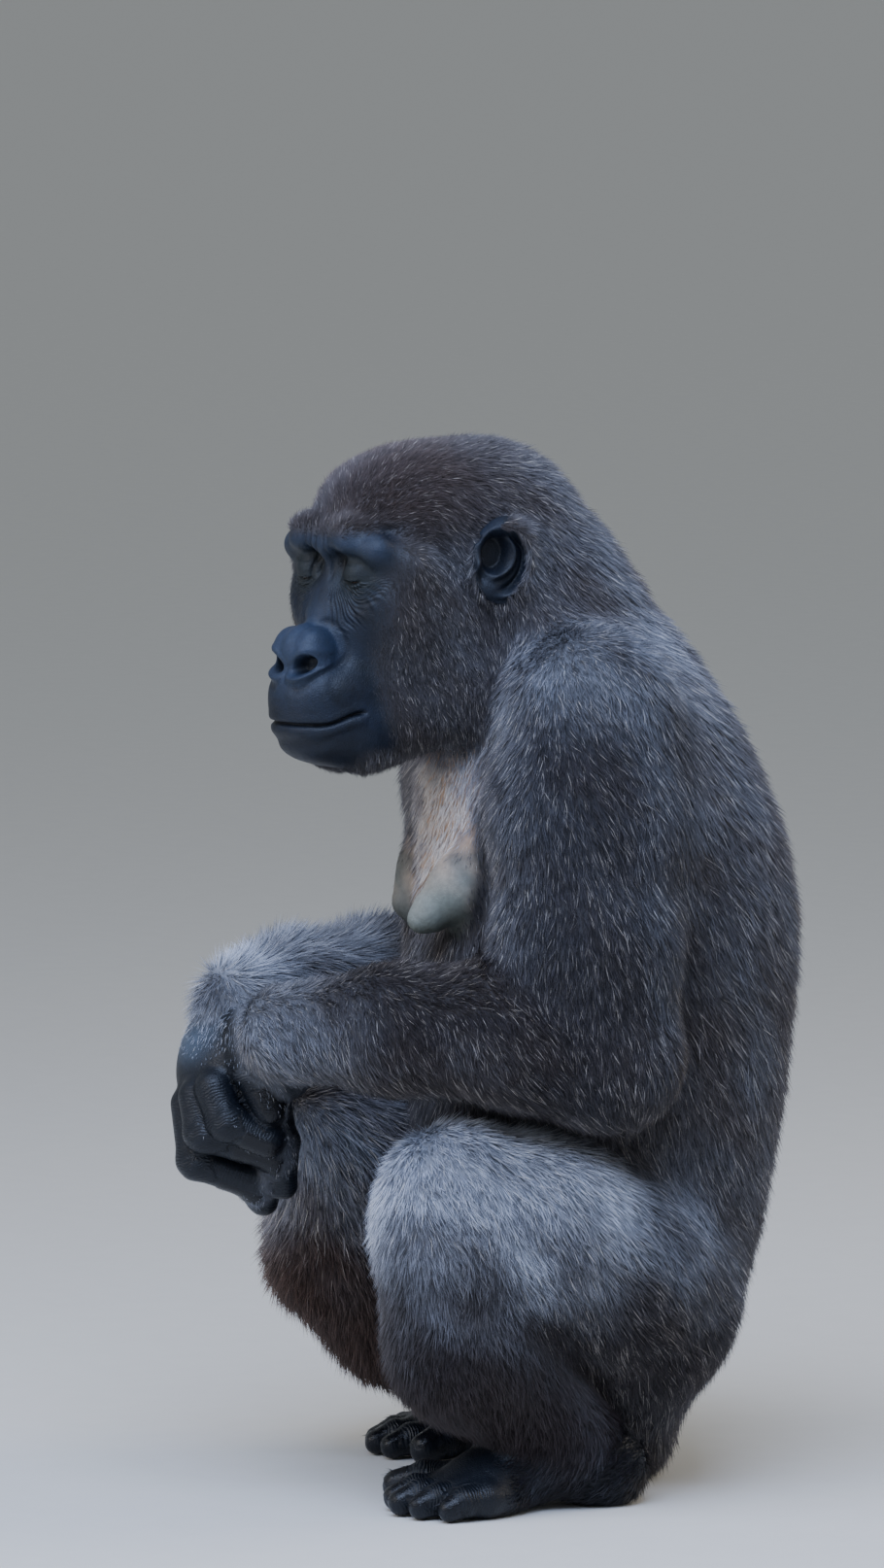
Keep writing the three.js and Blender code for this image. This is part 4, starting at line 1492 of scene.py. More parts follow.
# ---- Putting arrays into Blender ------------------------------------------------------------------
@dataclass
class Maker:
    """Turns arrays in the maker's millimetres into objects of the row's frame."""

    shift: Array

    def piece(self, name: str, points: Array, faces: Array, material: bpy.types.Material,
              smooth: bool) -> bpy.types.Object:
        """Makes an object from points and faces of one size.

        Args:
            name: the object's name.
            points: corners, mm, in the maker's frame.
            faces: point numbers, one row for each face.
            material: the finish.
            smooth: whether the faces are shaded as one surface.

        Returns:
            The object, at the origin, its place in its mesh.
        """
        mesh = bpy.data.meshes.new(name)
        count, corners = faces.shape
        mesh.vertices.add(len(points))
        mesh.vertices.foreach_set("co", ((points + self.shift) * MM).astype(np.float32).ravel())
        mesh.loops.add(count * corners)
        mesh.loops.foreach_set("vertex_index", faces.astype(np.int32).ravel())
        mesh.polygons.add(count)
        mesh.polygons.foreach_set("loop_start", np.arange(0, count * corners, corners, dtype=np.int32))
        mesh.polygons.foreach_set("use_smooth", np.full(count, smooth))
        mesh.update(calc_edges=True)
        mesh.materials.append(material)
        thing = bpy.data.objects.new(name, mesh)
        bpy.context.scene.collection.objects.link(thing)
        return thing

    @staticmethod
    def number(thing: bpy.types.Object, name: str, values: Array) -> None:
        """Stores one number for each point under a name."""
        layer = thing.data.attributes.new(name, "FLOAT", "POINT")
        layer.data.foreach_set("value", values.astype(np.float32))

    @staticmethod
    def colour(thing: bpy.types.Object, name: str, values: Array) -> None:
        """Stores three shares for each point under a name.

        Args:
            thing: the piece.
            name: of the attribute.
            values: three a row.
        """
        layer = thing.data.attributes.new(name, "FLOAT_COLOR", "POINT")
        full = np.concatenate([values, np.ones((len(values), 1))], 1)
        layer.data.foreach_set("color", full.astype(np.float32).ravel())


# ---- Skin -----------------------------------------------------------------------------------------
@dataclass
class Skin:
    """The one skin of her flesh: meshed, refined where it is bare, folded and coloured."""

    body: Body
    coarse: float = 9.4
    close: float = 5.0
    net: Net = field(init=False)
    nail: Array = field(init=False)
    hollow: Array = field(init=False)
    folds: Array = field(init=False)

    def lines(self) -> list[Array]:
        """Grid lines along each axis, closer together across the hands.

        Returns:
            The lines of X, Y and Z.
        """
        spans = [(-255, 270, -80, 70), (-310, 262, -300, -190), (-9, 905, 238, 440)]
        grids = []
        for low, high, start, end in spans:
            before = np.linspace(low, start, max(2, round((start - low) / self.coarse) + 1))
            inner = np.linspace(start, end, round((end - start) / self.close) + 1)
            after = np.linspace(end, high, round((high - end) / self.coarse) + 1)
            grids.append(np.concatenate([before[:-1], inner, after[1:]]))
        return grids

    def target(self, p: Array) -> Array:
        """Longest edge wanted at each point: small on bare skin, least on lids and lips.

        Args:
            p: points, mm.

        Returns:
            Length in mm at each point.
        """
        head = self.body.head
        q = folded(self.body.place.inside(p))
        near = length(q - np.array([40.0, 0, -40])) < 160
        bald = (1 - head.haired(q)) * (q[:, 2] > -185) * (q[:, 0] > 20)
        front = (q[:, 0] > 84) & (q[:, 2] < 34) & (q[:, 2] > -150)
        lips = (q[:, 0] > 94) & (np.abs(q[:, 2] - head.mouth_height(q[:, 0])) < 7)
        e, n = q - np.array(head.eye), q - np.array(head.nostril)
        ear = (q - np.array(head.ear)) @ head.ear_axes().T
        plate = np.hypot(ear[:, 1] / 28, ear[:, 2] / 38)
        size = np.full(len(p), 12.0)
        for where, edge in ((near & (bald > 0.15), 3.2), (near & front, 2.2),
                            ((length(e) < 21) & (e[:, 0] > 0), 1.25), (length(n) < 16, 1.5),
                            (near & lips, 1.5), ((plate < 1) & (ear[:, 0] > -1), 1.7)):
            size = np.where(where, edge, size)
        d = self.body.distances(p)
        toes = np.minimum(d[Zone.FOOT_LEFT], d[Zone.FOOT_RIGHT]) + 99.0 * (p[:, 2] <= 0.5)
        for reach, within, edge in ((d[Zone.HAND_RIGHT], 3, 3.2), (d[Zone.HAND_LEFT], 3, 4.2),
                                    (toes, 3, 4.2), (d[Zone.BREAST_LEFT], 2, 4.5)):
            size = np.where(reach < within, np.minimum(size, edge), size)
        return size

    def build(self) -> None:
        """Meshes the flesh, refines it, and adds folds, nostrils, slits, ears and nails."""
        shape = self.body.field
        self.net = Net.over(shape, self.lines())
        self.net.drawn_to(shape, 2)
        self.net.eased(shape, 0.5)
        for _ in range(5):
            if self.net.split(shape, self.target) < 50:
                break
        self.net.eased(shape, 0.35)
        self.fold()

    def fold(self) -> None:
        """Moves each point of the bare parts along the surface by its relief, and works out the painted
        shade of the hollows.
        """
        p, normal = self.net.points, self.net.normals()
        head, place = self.body.head, self.body.place
        q = place.inside(p)
        on_head = length(q - np.array([40.0, 0.0, -40.0])) < 190
        height, push = head.relief(q)
        height, push = height * on_head, push * on_head
        ear_height, ear_share, axis, bowl = self.ear_move(q, normal, on_head)
        digits = [creases.relief(p) for creases in self.body.creases]
        self.nail = np.max([nail for _, nail, _ in digits], 0)
        knuckles = np.sum([rise for rise, _, _ in digits], 0) * (~on_head)
        cross = np.sum([folds for _, _, folds in digits], 0)
        # back: share of the back of the right hand that gets the painted sheen
        back = (1 - ramp(14, 52, length(p - np.array([-34.0, -262.0, 392.0])))) * ramp(346, 376, p[:, 2])
        self.folds = np.where(on_head[:, None], head.lines(q), np.column_stack([cross, back]))
        bare = height * (1 - ear_share) + knuckles
        p = p + bare[:, None] * normal - push[:, None] * place.axes[0]
        p = p + ear_height[:, None] * axis
        p[:, 2] = np.maximum(p[:, 2], 0.0)
        # painted shade: darkness of the nostrils, creases, ear bowls and the pocket above the inner eye
        pocket_shade = 0.85 * (1 - ramp(5, 13, length(folded(q) - np.array([98.0, 18.0, 7.0]))))
        self.hollow = np.clip(push / 8.0, 0, 1) + np.clip(-height / 4.0, 0, 0.8) + bowl + pocket_shade
        self.net.points = p

    def ear_move(self, q: Array, normal: Array, on_head: Array) -> tuple[Array, Array, Array, Array]:
        """How far the points of each ear's outer face go out along the ear's own axis.

        Args:
            q: points in head coordinates.
            normal: surface normals in the maker's frame.
            on_head: which points are near the head.

        Returns:
            The move in mm, the share of each point that is ear, the axis, and the share of bowl, which gets
            painted shade.
        """
        head, place = self.body.head, self.body.place
        sign = np.where(q[:, 1] >= 0, 1.0, -1.0)
        axes = head.ear_axes()
        ear = (folded(q) - np.array(head.ear)) @ axes.T
        across, up = ear[:, 1] / head.ear_size[1], ear[:, 2] / head.ear_size[2]
        rho = np.hypot(across, up)
        n = normal @ place.axes.T
        n[:, 1] *= sign
        outward = n @ axes[0]
        share = (1 - ramp(0.93, 1.02, rho)) * ramp(-0.05, 0.2, outward) * ramp(-3, 0, ear[:, 0]) * on_head
        move = (head.ear_relief(across, up) - ear[:, 0]) * share
        axis = np.tile(axes[0], (len(q), 1))
        axis[:, 1] *= sign
        return move, share, axis @ place.axes, 0.8 * share * head.ear_bowl(across, up)

    def colours(self) -> tuple[Array, Array]:
        """Shares of face, bare hide and breast, and of chest, nail and painted shade, at each point.

        Returns:
            Two arrays of three columns.
        """
        p = self.net.points
        d = self.body.distances(p)
        q = self.body.place.inside(p)
        head = d[Zone.HEAD]
        on_head = (head < d[Zone.NECK] + 5) & (head < d[Zone.TRUNK]) & (head < 8)
        ear = length((folded(q) - np.array(self.body.head.ear)) / np.array([30, 14, 42])) < 1
        ear = ear * ramp(76, 82, np.abs(q[:, 1]))
        face = np.maximum(1 - self.body.head.haired(q), ear) * on_head
        bare = 1 - ramp(0.5, 4, d[[*HANDS, *FEET]].min(0))
        near, far = (d[zone] for zone in BREASTS)
        breast = np.maximum(1 - ramp(-6, 20, near), 0.6 * (1 - ramp(-6, 18, far)))
        breast = breast * ramp(462, 474, p[:, 2]) * (1 - ramp(500, 566, p[:, 2]))
        breast = breast * (1 - self.body.beside_breast(p))
        chest = self.body.chest(p) * (1 - ramp(0, 30, -head)) * (head > 2)
        zones = np.stack([face, bare, np.clip(breast, 0, 1)], 1)
        return zones, np.stack([chest, self.nail, np.clip(self.hollow, 0, 1)], 1)

    def piece(self, maker: Maker) -> bpy.types.Object:
        """The finished skin as an object that stands for every node of flesh.

        Args:
            maker: puts arrays into Blender.

        Returns:
            The object.
        """
        thing = maker.piece("skin", self.net.points, self.net.faces, Hide().material(), True)
        zones, extra = self.colours()
        maker.colour(thing, "zones", zones)
        maker.colour(thing, "extra", extra)
        maker.colour(thing, "lines", self.folds)
        points, body = self.net.points, self.body
        maker.number(thing, "bloom", np.clip(body.head.bloom(body.place.inside(points)), 0, 1))
        maker.colour(thing, "marking", body.markings(points, body.shares(body.distances(points))))
        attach(thing, "root")
        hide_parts(*[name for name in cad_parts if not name.startswith("eye_")])
        return thing


@dataclass(frozen=True)
class Eye:
    """A ball with a bulging cornea, looking out under the lowered lid."""

    side: Side
    radius: float = 12.0
    bulge: float = 0.5
    rows: int = 48
    around: int = 64

    def piece(self, maker: Maker, place: HeadFrame, finish: bpy.types.Material) -> bpy.types.Object:
        """The ball on a grid of angles from its gaze: radius plus a bell-shaped bulge.

        Args:
            maker: puts arrays into Blender.
            place: where the head stands and how it is turned.
            finish: the glass's material.

        Returns:
            The object.
        """
        name = f"eye_{self.side.word}"
        low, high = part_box(name)
        centre = np.array((low + high) / 2) / MM - maker.shift
        gaze = unit(np.array([[1.0, 0.05 * self.side.value, -0.42]]) @ place.axes)[0]
        side = unit(np.cross(gaze, [0.0, 0.0, 1.0])[None])[0]
        up = np.cross(side, gaze)
        theta = np.linspace(0, math.pi, self.rows + 1)[1:-1]
        phi = np.arange(self.around) * 2 * math.pi / self.around
        t, f = np.meshgrid(theta, phi, indexing="ij")
        r = self.radius + self.bulge * hump(t, 0.5)
        rim = (np.cos(t)[..., None] * gaze + np.sin(t)[..., None]
               * (np.cos(f)[..., None] * side + np.sin(f)[..., None] * up)) * r[..., None]
        ends = np.array([gaze * (self.radius + self.bulge), -gaze * self.radius])
        points = np.concatenate([rim.reshape(-1, 3), ends]) + centre
        i, j = np.meshgrid(np.arange(self.rows - 2), np.arange(self.around), indexing="ij")
        a, b = i * self.around + j, i * self.around + (j + 1) % self.around
        c, e = a + self.around, b + self.around
        wall = np.concatenate([np.stack(three, -1).reshape(-1, 3) for three in ([a, c, b], [b, c, e])])
        j = np.arange(self.around)
        last = (self.rows - 2) * self.around
        front, rear = len(points) - 2, len(points) - 1
        caps = np.concatenate([np.stack([np.full_like(j, front), j, (j + 1) % self.around], 1),
                               np.stack([np.full_like(j, rear), last + (j + 1) % self.around, last + j], 1)])
        thing = maker.piece(f"{name}_glass", points, np.concatenate([wall, caps]), finish, True)
        maker.number(thing, "ring", np.append(t.ravel(), [0.0, math.pi]) / 1.6)
        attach(thing, "root")
        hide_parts(name)
        return thing


# ---- Coat -----------------------------------------------------------------------------------------
@dataclass(frozen=True)
class Pelt:
    """The hair of one zone: length, width and density of tufts, and how far they stand off.

    Attributes:
        long: length of a tuft, mm.
        wide: width at its root, mm.
        dense: tufts for each square centimetre.
        lift: angle off the skin, degrees.
    """

    long: float
    wide: float
    dense: float
    lift: float


PELTS: dict[Zone, Pelt] = {
    Zone.TRUNK: Pelt(21, 0.95, 20, 18), Zone.NECK: Pelt(18, 0.85, 31, 19), Zone.HEAD: Pelt(10, 0.6, 92, 25),
    Zone.BREAST_LEFT: Pelt(9, 0.6, 8, 12), Zone.BREAST_RIGHT: Pelt(9, 0.6, 8, 12),
    Zone.UPPER_ARM_LEFT: Pelt(17, 0.78, 36, 18), Zone.FOREARM_LEFT: Pelt(16, 0.75, 36, 19),
    Zone.HAND_LEFT: Pelt(9, 0.7, 20, 14), Zone.UPPER_ARM_RIGHT: Pelt(21, 1.0, 20, 18),
    Zone.FOREARM_RIGHT: Pelt(23, 0.85, 30, 33), Zone.HAND_RIGHT: Pelt(9, 0.7, 20, 14),
    Zone.THIGH_LEFT: Pelt(19, 0.9, 31, 18), Zone.SHIN_LEFT: Pelt(19, 0.9, 30, 19),
    Zone.FOOT_LEFT: Pelt(16, 0.8, 26, 16), Zone.THIGH_RIGHT: Pelt(22, 1.0, 22, 25),
    Zone.SHIN_RIGHT: Pelt(22, 1.0, 22, 27), Zone.FOOT_RIGHT: Pelt(16, 0.8, 26, 16),
}


@dataclass(frozen=True)
class Roots:
    """Where the tufts stand, a row of each array for every tuft.

    Attributes:
        place: root of the tuft, mm.
        up: surface normal there.
        way: lie of the coat there.
        size: length, width, density and lift there.
        mark: shares of grey with painted sheen, of rust and of brown there.
        haired: cover there, which shortens tufts at the coat's edge.
        zone: number of the zone the root is in.
    """

    place: Array
    up: Array
    way: Array
    size: Array
    mark: Array
    haired: Array
    zone: Array


@dataclass
class Coat:
    """Every tuft of her hair, in pieces of one part of the body each."""

    skin: Skin
    seed: int = 7
    count: int = 374_000  # tufts in all, four triangles each
    most: int = 48_000  # tufts in one piece

    def lie(self, p: Array, shares: Array, normal: Array) -> Array:
        """Which way the hair lies at each point of the skin.

        Args:
            p: points of the skin.
            shares: zone shares at each, one row for each zone.
            normal: surface normals.

        Returns:
            A unit direction along the surface at each point.
        """
        place, body = self.skin.body.place, self.skin.body
        q = place.inside(p)
        forward, left, up = place.axes
        rise = np.clip(normal[:, 2:], 0, 1)
        brow = (ramp(8, 34, q[:, 2]) * ramp(20, 70, q[:, 0]))[:, None]
        side = np.sign(q[:, 1])[:, None] * left
        back = mix(0.10, 1.0, ramp(-20, 50, q[:, 2]))[:, None]
        across, rear, down = np.array([1.0, 0.0, 0.0]), np.array([0.0, 1.0, 0.0]), np.array([0.0, 0.0, -1.0])
        out = np.clip(p[:, :1] / 40.0, -1, 1) * across
        ways: dict[Zone, Array] = {
            Zone.TRUNK: down + 0.30 * rear + 0.9 * rise * out,
            Zone.NECK: down + 0.55 * rear + 0.5 * rise * out,
            Zone.HEAD: mix(-1.0, 0.28, brow) * up - back * forward + 0.05 * side}
        for zone in BREASTS:
            ways[zone] = down + 0.2 * rear
        for s, (arm, fore, hand) in ARM.items():
            ways[arm] = body.upper_arm[s].way(p) + 0.15 * rear + rise * out
            ways[fore] = 0.9 * down - (0.25 + 1.1 * rise) * body.forearm[s].way(p) + 0.5 * across
            ways[hand] = down + 0.3 * across
        for thigh, shin, foot in LEG.values():
            ways[thigh] = 0.9 * down + 0.45 * rear + 0.7 * rise * across
            ways[shin] = down + 0.2 * rear + 0.7 * rise * across
            ways[foot] = 0.3 * down - rear
        total = sum(shares[zone][:, None] * way for zone, way in ways.items())
        swirl = np.stack([Ripple(95, 11 + n).at(p) for n in range(3)], 1)
        return flat_along(unit(total) + 0.15 * swirl, normal)

    def cover(self, p: Array, d: Array, shares: Array) -> Array:
        """How far each point is haired: 1 under the full coat, 0 on bare skin.

        Args:
            p: points of the skin.
            d: distance to each zone.
            shares: zone shares at each point.

        Returns:
            The share at each point.
        """
        body = self.skin.body
        q = body.place.inside(p)
        cover = 1 - shares[Zone.HEAD] * (1 - body.head.haired(q))
        ear = length((folded(q) - np.array(body.head.ear)) / np.array([27, 14, 37])) < 1
        cover *= 1.0 - (ear & (np.abs(q[:, 1]) > 80))
        for zone in HANDS:
            cover *= np.maximum(ramp(0.0, 7.0, d[zone]), 0.6 * ramp(362, 400, p[:, 2]))
        for s, zone in zip(Side, FEET):
            heel = ramp(-74, -46, p[:, 1] - body.foot[s].ankle[1])
            cover *= np.maximum(ramp(0.0, 6.0, d[zone]), heel)
        bare = (1 - ramp(0.0, 12.0, d[[*BREASTS]].min(0))) * (1 - ramp(515, 560, p[:, 2]))
        cover *= 1 - bare * (1 - body.beside_breast(p))
        cover *= 1 - 0.35 * body.chest(p) * (d[Zone.HEAD] > 3)
        return cover * ramp(1.0, 8.0, p[:, 2])

    def build(self, maker: Maker) -> list[bpy.types.Object]:
        """Roots the tufts by area and density and lays them in pieces.

        Args:
            maker: puts arrays into Blender.

        Returns:
            The pieces.
        """
        rng = np.random.default_rng(self.seed)
        net = self.skin.net
        p, normal = net.points, net.normals()
        d = self.skin.body.distances(p)
        shares = self.skin.body.shares(d)
        cover = self.cover(p, d, shares)
        pelts = np.array([[PELTS[z].long, PELTS[z].wide, PELTS[z].dense, PELTS[z].lift] for z in Zone])
        sizes = shares.T @ pelts
        lie = self.lie(p, shares, normal)
        marks = self.skin.body.markings(p, shares)
        corners = p[net.faces]
        area = length(np.cross(corners[:, 1] - corners[:, 0], corners[:, 2] - corners[:, 0])) / 2
        dense = (sizes[:, 2] * cover)[net.faces].mean(1)
        total = np.cumsum(area * dense)
        count = self.count
        log.info("tufts: %d over %.2f square metres", count, area.sum() / 1e6)
        face = np.searchsorted(total, rng.uniform(0, total[-1], count))
        face = np.minimum(face, len(net.faces) - 1)
        weights = rng.dirichlet((1.0, 1.0, 1.0), count)
        tri = net.faces[face]

        def spread(values: Array) -> Array:
            """Values of the three corners shared out to each root."""
            return np.einsum("ij,ijk->ik", weights, values[tri])

        up = unit(spread(normal))
        roots = Roots(spread(p), up, flat_along(spread(lie), up), spread(sizes), spread(marks),
                      spread(cover[:, None])[:, 0], shares.argmax(0)[tri[:, 0]])
        return self.lay(maker, rng, roots)

    def lay(self, maker: Maker, rng: np.random.Generator, roots: Roots) -> list[bpy.types.Object]:
        """Makes a tuft at every root and shares the tufts out into pieces.

        Args:
            maker: puts arrays into Blender.
            rng: the seeded source of chance.
            roots: where the tufts stand.

        Returns:
            The pieces.
        """
        corners = self.spikes(rng, roots)
        tone = self.tones(rng, roots)
        uv, names = self.unwrapped(roots), self.parted(roots)
        finish = Hair().material()
        pieces = []
        for name in sorted(set(names)):
            chosen = np.nonzero(names == name)[0]
            for n, part in enumerate(np.array_split(chosen, math.ceil(len(chosen) / self.most))):
                full = f"coat_{name}_{n + 1}"
                pieces.append(self.tufts(maker, full, [x[part] for x in corners], tone[part],
                                         roots.mark[part], uv[part], finish))
                log.info("%s: %d tufts", full, len(part))
        return pieces

    @staticmethod
    def spikes(rng: np.random.Generator, roots: Roots) -> list[Array]:
        """Bends, clumps and lifts each tuft, and sinks its root a little into the skin.

        Args:
            rng: the seeded source of chance.
            roots: where the tufts stand.

        Returns:
            The three corners at the root and the tip, one array each.
        """
        root, up, count = roots.place, roots.up, len(roots.place)
        side = np.cross(roots.way, up)
        clump = Ripple(9, 51).at(root)
        sway = np.radians(9 * rng.normal(size=count) + 11 * clump + 6 * Ripple(26, 52).at(root))
        way = unit(roots.way * np.cos(sway)[:, None] + side * np.sin(sway)[:, None])
        side = np.cross(way, up)
        lift = np.radians(roots.size[:, 3] * rng.uniform(0.5, 1.65, count) + 5 * Ripple(14, 53).at(root))
        lift = np.maximum(lift, 0.07)[:, None]
        long = roots.size[:, 0] * rng.uniform(0.55, 1.12, count) * (0.45 + 0.55 * roots.haired)
        wide = (roots.size[:, 1] * rng.uniform(0.7, 1.25, count))[:, None]
        foot = root - up * (0.35 * wide + 0.6)
        tip = root + long[:, None] * (way * np.cos(lift) + up * np.sin(lift))
        tip[:, 2] = np.maximum(tip[:, 2], 1.0)
        return [foot - side * wide / 2, foot + side * wide / 2, foot + up * wide * 0.7, tip]

    def tones(self, rng: np.random.Generator, roots: Roots) -> Array:
        """Lightness of each tuft: black to silver at random, a few pale ones also standing in for glints
        (partly painted highlight), darker on the brow, darker down the low leg as painted shade, lighter on
        the far leg as painted light, and fair on the chest.

        Args:
            rng: the seeded source of chance.
            roots: where the tufts stand.

        Returns:
            A share for each tuft, 0 for the darkest hair and 1 or a little over for the fairest.
        """
        root, zone, count, body = roots.place, roots.zone, len(roots.place), self.skin.body
        clump = np.clip(0.5 + 0.6 * Ripple(13, 54).at(root), 0, 1)
        tone = 0.72 * rng.uniform(0, 1, count) + 0.28 * clump
        # pale tufts: pale hairs that also stand in for glints of light, partly painted highlight
        pale_and_glint_draw, bright = rng.uniform(0, 1, count), rng.uniform(0.88, 1.04, count)
        tone = np.where(pale_and_glint_draw < 0.08, bright, 0.95 * tone)
        q = body.place.inside(root)
        on_head = zone == Zone.HEAD
        forehead = mix(0.62, 1.0, np.maximum(ramp(50, 120, q[:, 2]), 1 - ramp(-70, 80, q[:, 0])))
        edge = 0.3 + 0.7 * ramp(0.3, 0.9, roots.haired)
        tone = np.where(on_head, 0.9 * tone * forehead * edge, tone)
        few = mix(0.10, 0.045, ramp(0, 50, q[:, 2])) * forehead * ramp(0.5, 0.9, roots.haired)
        tone = np.where(on_head & (pale_and_glint_draw < few), bright, tone)
        # painted shade: the low leg darker towards the floor
        low_leg = np.isin(zone, [part for leg in LEG.values() for part in leg[1:]])
        tone = np.where(low_leg, tone * mix(0.62, 0.94, ramp(50, 260, root[:, 2])), tone)
        # painted light: the far leg made lighter where it lies in shade
        tone = np.where(np.isin(zone, LEG[Side.RIGHT][:2]), 1.15 * tone, tone)
        fair = body.chest(root) * np.isin(zone, (Zone.TRUNK, Zone.NECK, *BREASTS))
        return mix(tone, rng.uniform(1.0, 1.2, count), fair)

    @staticmethod
    def parted(roots: Roots) -> Array:
        """Name of the piece each root belongs to: hands go with forearms and feet with shins.

        Args:
            roots: where the tufts stand.

        Returns:
            A name for each root.
        """
        words = ["trunk" if one in BREASTS
                 else one.name.lower().replace("hand", "forearm").replace("foot", "shin") for one in Zone]
        names = np.array(words)[roots.zone]
        half = np.where(roots.place[:, 0] > 0, "left", "right")
        band = np.where(roots.place[:, 2] > 420, "back_", "rump_")
        return np.where(names == "trunk", np.char.add(band, half), names)

    def unwrapped(self, roots: Roots) -> Array:
        """Each root's place on an unwrap of the skin: angle round its part, and distance along it.

        Args:
            roots: where the tufts stand.

        Returns:
            Two shares from 0 to 1 for each root.
        """
        body, root = self.skin.body, roots.place
        ends: dict[Zone, tuple] = dict.fromkeys((Zone.TRUNK, *BREASTS), ((0, 74, 0), (0, 70, 760)))
        ends[Zone.NECK] = (4, 30, 640), (6, -14, 850)
        ends[Zone.HEAD] = (14, -60, 640), (4, -40, 900)
        for s in Side:
            arm, fore, thigh, shin = (limb[s].ends() for limb in
                                      (body.upper_arm, body.forearm, body.thigh, body.shin))
            ends |= zip(ARM[s] + LEG[s], (arm, fore, fore, thigh, shin, shin))
        start, end = (np.array([ends[one][n] for one in Zone], float)[roots.zone] for n in (0, 1))
        axis = end - start
        span = length(axis)
        axis = axis / span[:, None]
        across = flat_along(np.tile([0.31, 0.95, 0.05], (len(root), 1)), axis)
        over = np.cross(axis, across)
        off = root - start
        along = np.einsum("ij,ij->i", off, axis) / span
        angle = np.arctan2(np.einsum("ij,ij->i", off, over), np.einsum("ij,ij->i", off, across))
        v = 0.5 + np.arctan(1.6 * (along - 0.5)) / math.pi * 1.2
        return np.stack([0.002 + 0.992 * (angle / (2 * math.pi) + 0.5), np.clip(v, 0.004, 0.992)], 1)

    def tufts(self, maker: Maker, name: str, corners: list[Array], tone: Array, mark: Array,
              uv: Array, finish: bpy.types.Material) -> bpy.types.Object:
        """One piece of the coat: each tuft a closed three-sided spike.

        Args:
            maker: puts arrays into Blender.
            name: the piece's name.
            corners: the three corners at the root and the tip, one array each.
            tone: lightness of each tuft, 0 to 1.
            mark: markings of each tuft.
            uv: place of each tuft on the unwrap.
            finish: the hair's material.

        Returns:
            The object.
        """
        count = len(tone)
        points = np.stack(corners, 1).reshape(-1, 3)
        one = np.array([[0, 1, 2], [0, 3, 1], [1, 3, 2], [2, 3, 0]])
        faces = (one + 4 * np.arange(count)[:, None, None]).reshape(-1, 3)
        thing = maker.piece(name, points, faces, finish, False)
        maker.number(thing, "tone", np.repeat(tone, 4))
        maker.number(thing, "along", np.tile([0.0, 0.0, 0.0, 1.0], count))
        maker.colour(thing, "marking", np.repeat(mark, 4, 0))
        patch = 0.003 * np.array([[0, 0], [1, 0], [0.5, 0.2], [0, 0], [0.5, 1], [1, 0],
                                  [0, 0], [0.5, 1], [1, 0], [0, 0], [0.5, 1], [1, 0]])
        layer = thing.data.uv_layers.new(name="OFBake")
        layer.data.foreach_set("uv", (uv[:, None, :] + patch).astype(np.float32).ravel())
        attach(thing, "root")
        return thing


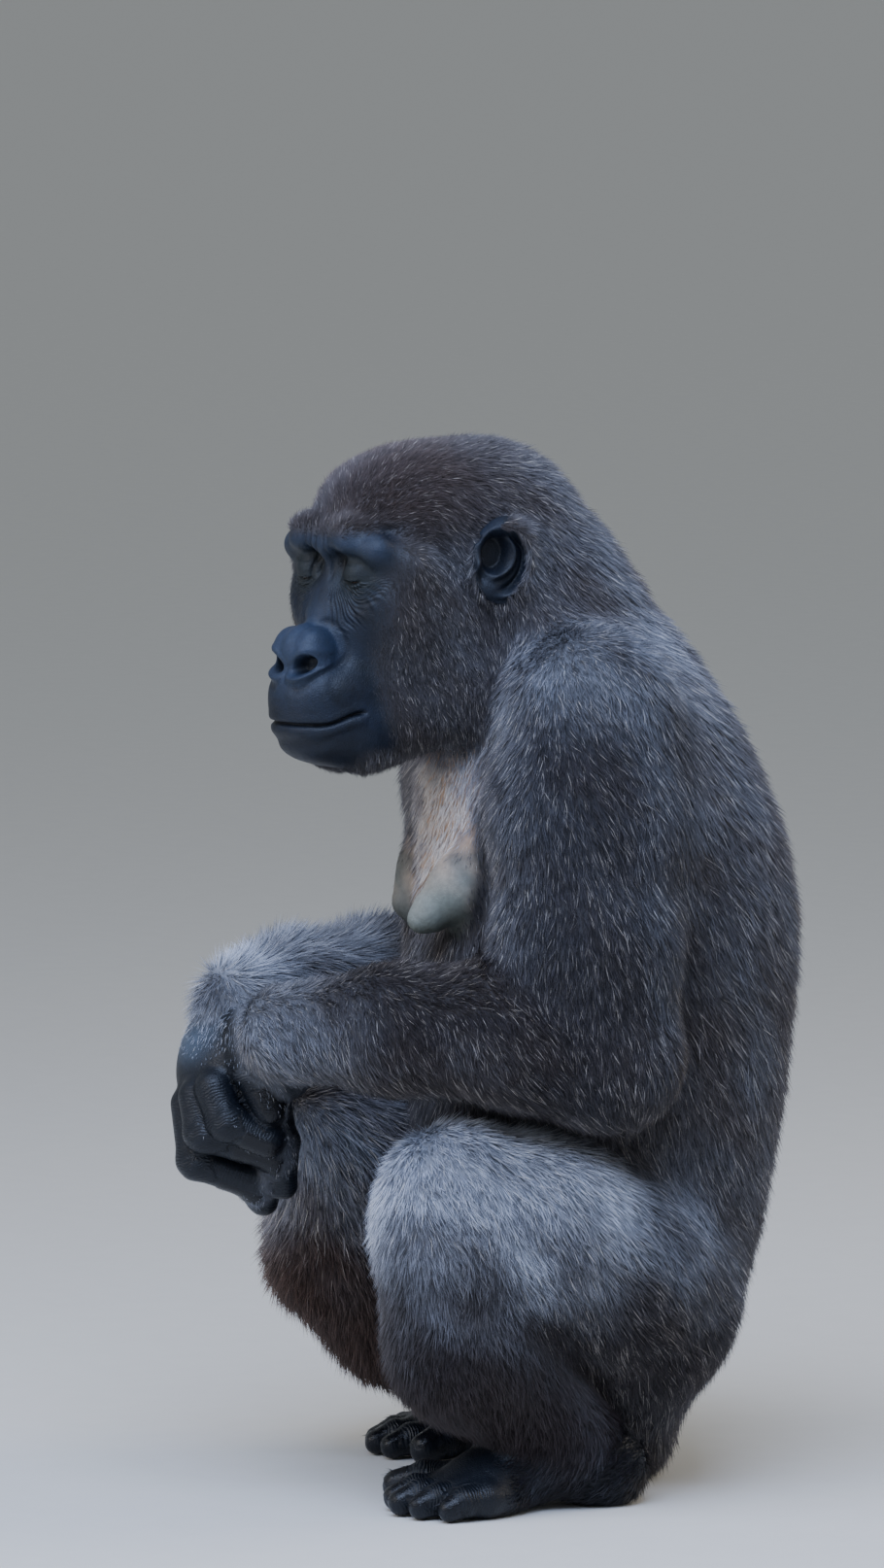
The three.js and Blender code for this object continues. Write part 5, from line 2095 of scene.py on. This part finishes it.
# ---- Studio ---------------------------------------------------------------------------------------
@dataclass(frozen=True)
class Studio:
    """Pale floor, soft lights and the camera."""

    target: tuple[float, float, float] = (0.0, 0.0, 470.0)
    azimuth: float = 70.0  # degrees from straight in front towards her left
    height: float = 6.0  # degrees above level
    distance: float = 9000.0
    tall_mm: float = 1323.5  # what the frame's height takes in at the target
    beside: float = -53.3
    above: float = 121.4

    def floor(self) -> None:
        """A wide level sheet under her."""
        half = 40.0
        mesh = bpy.data.meshes.new("floor")
        mesh.from_pydata([(-half, -half, 0), (half, -half, 0), (half, half, 0), (-half, half, 0)], [],
                         [(0, 1, 2, 3)])
        mesh.materials.append(Plaster().material())
        floor = bpy.data.objects.new("floor", mesh)
        bpy.context.scene.collection.objects.link(floor)

    def lights(self) -> None:
        """A pale world and three soft lights: over her, before her face, and behind."""
        world = bpy.data.worlds.new("studio")
        bpy.context.scene.world = world
        world.use_nodes = True
        background = world.node_tree.nodes["Background"]
        background.inputs["Color"].default_value = linear("#e4ebf2")
        background.inputs["Strength"].default_value = 0.44
        aim = Vector((0.0, 0.0, 0.5))
        for name, place, size, power, colour in (
                ("over", (1.4, -0.8, 2.8), 2.4, 148.0, "#c2d6ff"),
                ("before", (0.4, -3.2, 1.9), 2.2, 52.0, "#f4f3f8"),
                ("behind", (0.4, 3.0, 2.2), 2.0, 44.0, "#fff2e0")):
            data = bpy.data.lights.new(name, "AREA")
            data.energy, data.size = power, size
            data.color = linear(colour)[:3]
            lamp = bpy.data.objects.new(name, data)
            lamp.location = place
            lamp.rotation_euler = (aim - lamp.location).to_track_quat("-Z", "Y").to_euler()
            bpy.context.scene.collection.objects.link(lamp)

    def camera(self, shift: Array) -> None:
        """Long lens, square to her left front, as the target and frame height ask.

        Args:
            shift: from the maker's frame to the scene's, mm.
        """
        tilt, turn = math.radians(self.height), math.radians(self.azimuth)
        back = np.array([math.cos(tilt) * math.sin(turn), -math.cos(tilt) * math.cos(turn), math.sin(tilt)])
        right = np.array([math.cos(turn), math.sin(turn), 0.0])
        up = np.cross(back, right)
        aim = np.array(self.target) + shift + self.beside * right + self.above * up
        data = bpy.data.cameras.new("camera")
        data.sensor_fit = "VERTICAL"
        data.sensor_height = 36.0
        data.lens = data.sensor_height * self.distance / self.tall_mm
        data.clip_end = 100.0
        camera = bpy.data.objects.new("camera", data)
        turning = Matrix((right, up, back)).transposed().to_4x4()
        camera.matrix_world = Matrix.Translation(Vector((aim + self.distance * back) * MM)) @ turning
        bpy.context.scene.collection.objects.link(camera)
        bpy.context.scene.camera = camera


def head_place() -> tuple[HeadFrame, Array]:
    """Where the head is: its turn and origin from the two eyes of the solids.

    Returns:
        The head's frame in the maker's millimetres, and the shift to the row's frame.
    """
    centres = []
    for side in Side:
        low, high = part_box(f"eye_{side.word}")
        centres.append(np.array((low + high) / 2) / MM)
    left = centres[0] - centres[1]
    yaw = math.atan2(left[1], left[0])
    nominal = HeadFrame(np.array([12.0, -79.0, 783.0]), yaw)
    eye = Head().eye
    middle = nominal.outside(np.array([[eye[0], 0.0, eye[2]]]))[0]
    return nominal, (centres[0] + centres[1]) / 2 - middle


def main() -> None:
    """Builds the stage, the skin, the eyes and the coat in that order."""
    logging.basicConfig(level=logging.INFO, format="%(relativeCreated)7d %(message)s")
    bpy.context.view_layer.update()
    place, shift = head_place()
    log.info("head turned %.1f degrees, shift %s", math.degrees(place.yaw), shift.round(3))
    studio = Studio()
    studio.floor()
    studio.lights()
    studio.camera(shift)
    maker = Maker(shift)
    skin = Skin(Body(place))
    skin.build()
    skin.piece(maker)
    log.info("skin: %d triangles", len(skin.net.faces))
    glass = Cornea().material()
    for side in Side:
        log.info("%s", Eye(side).piece(maker, place, glass).name)
    pieces = Coat(skin).build(maker)
    log.info("coat: %d pieces", len(pieces))


if __name__ == "__main__":
    main()
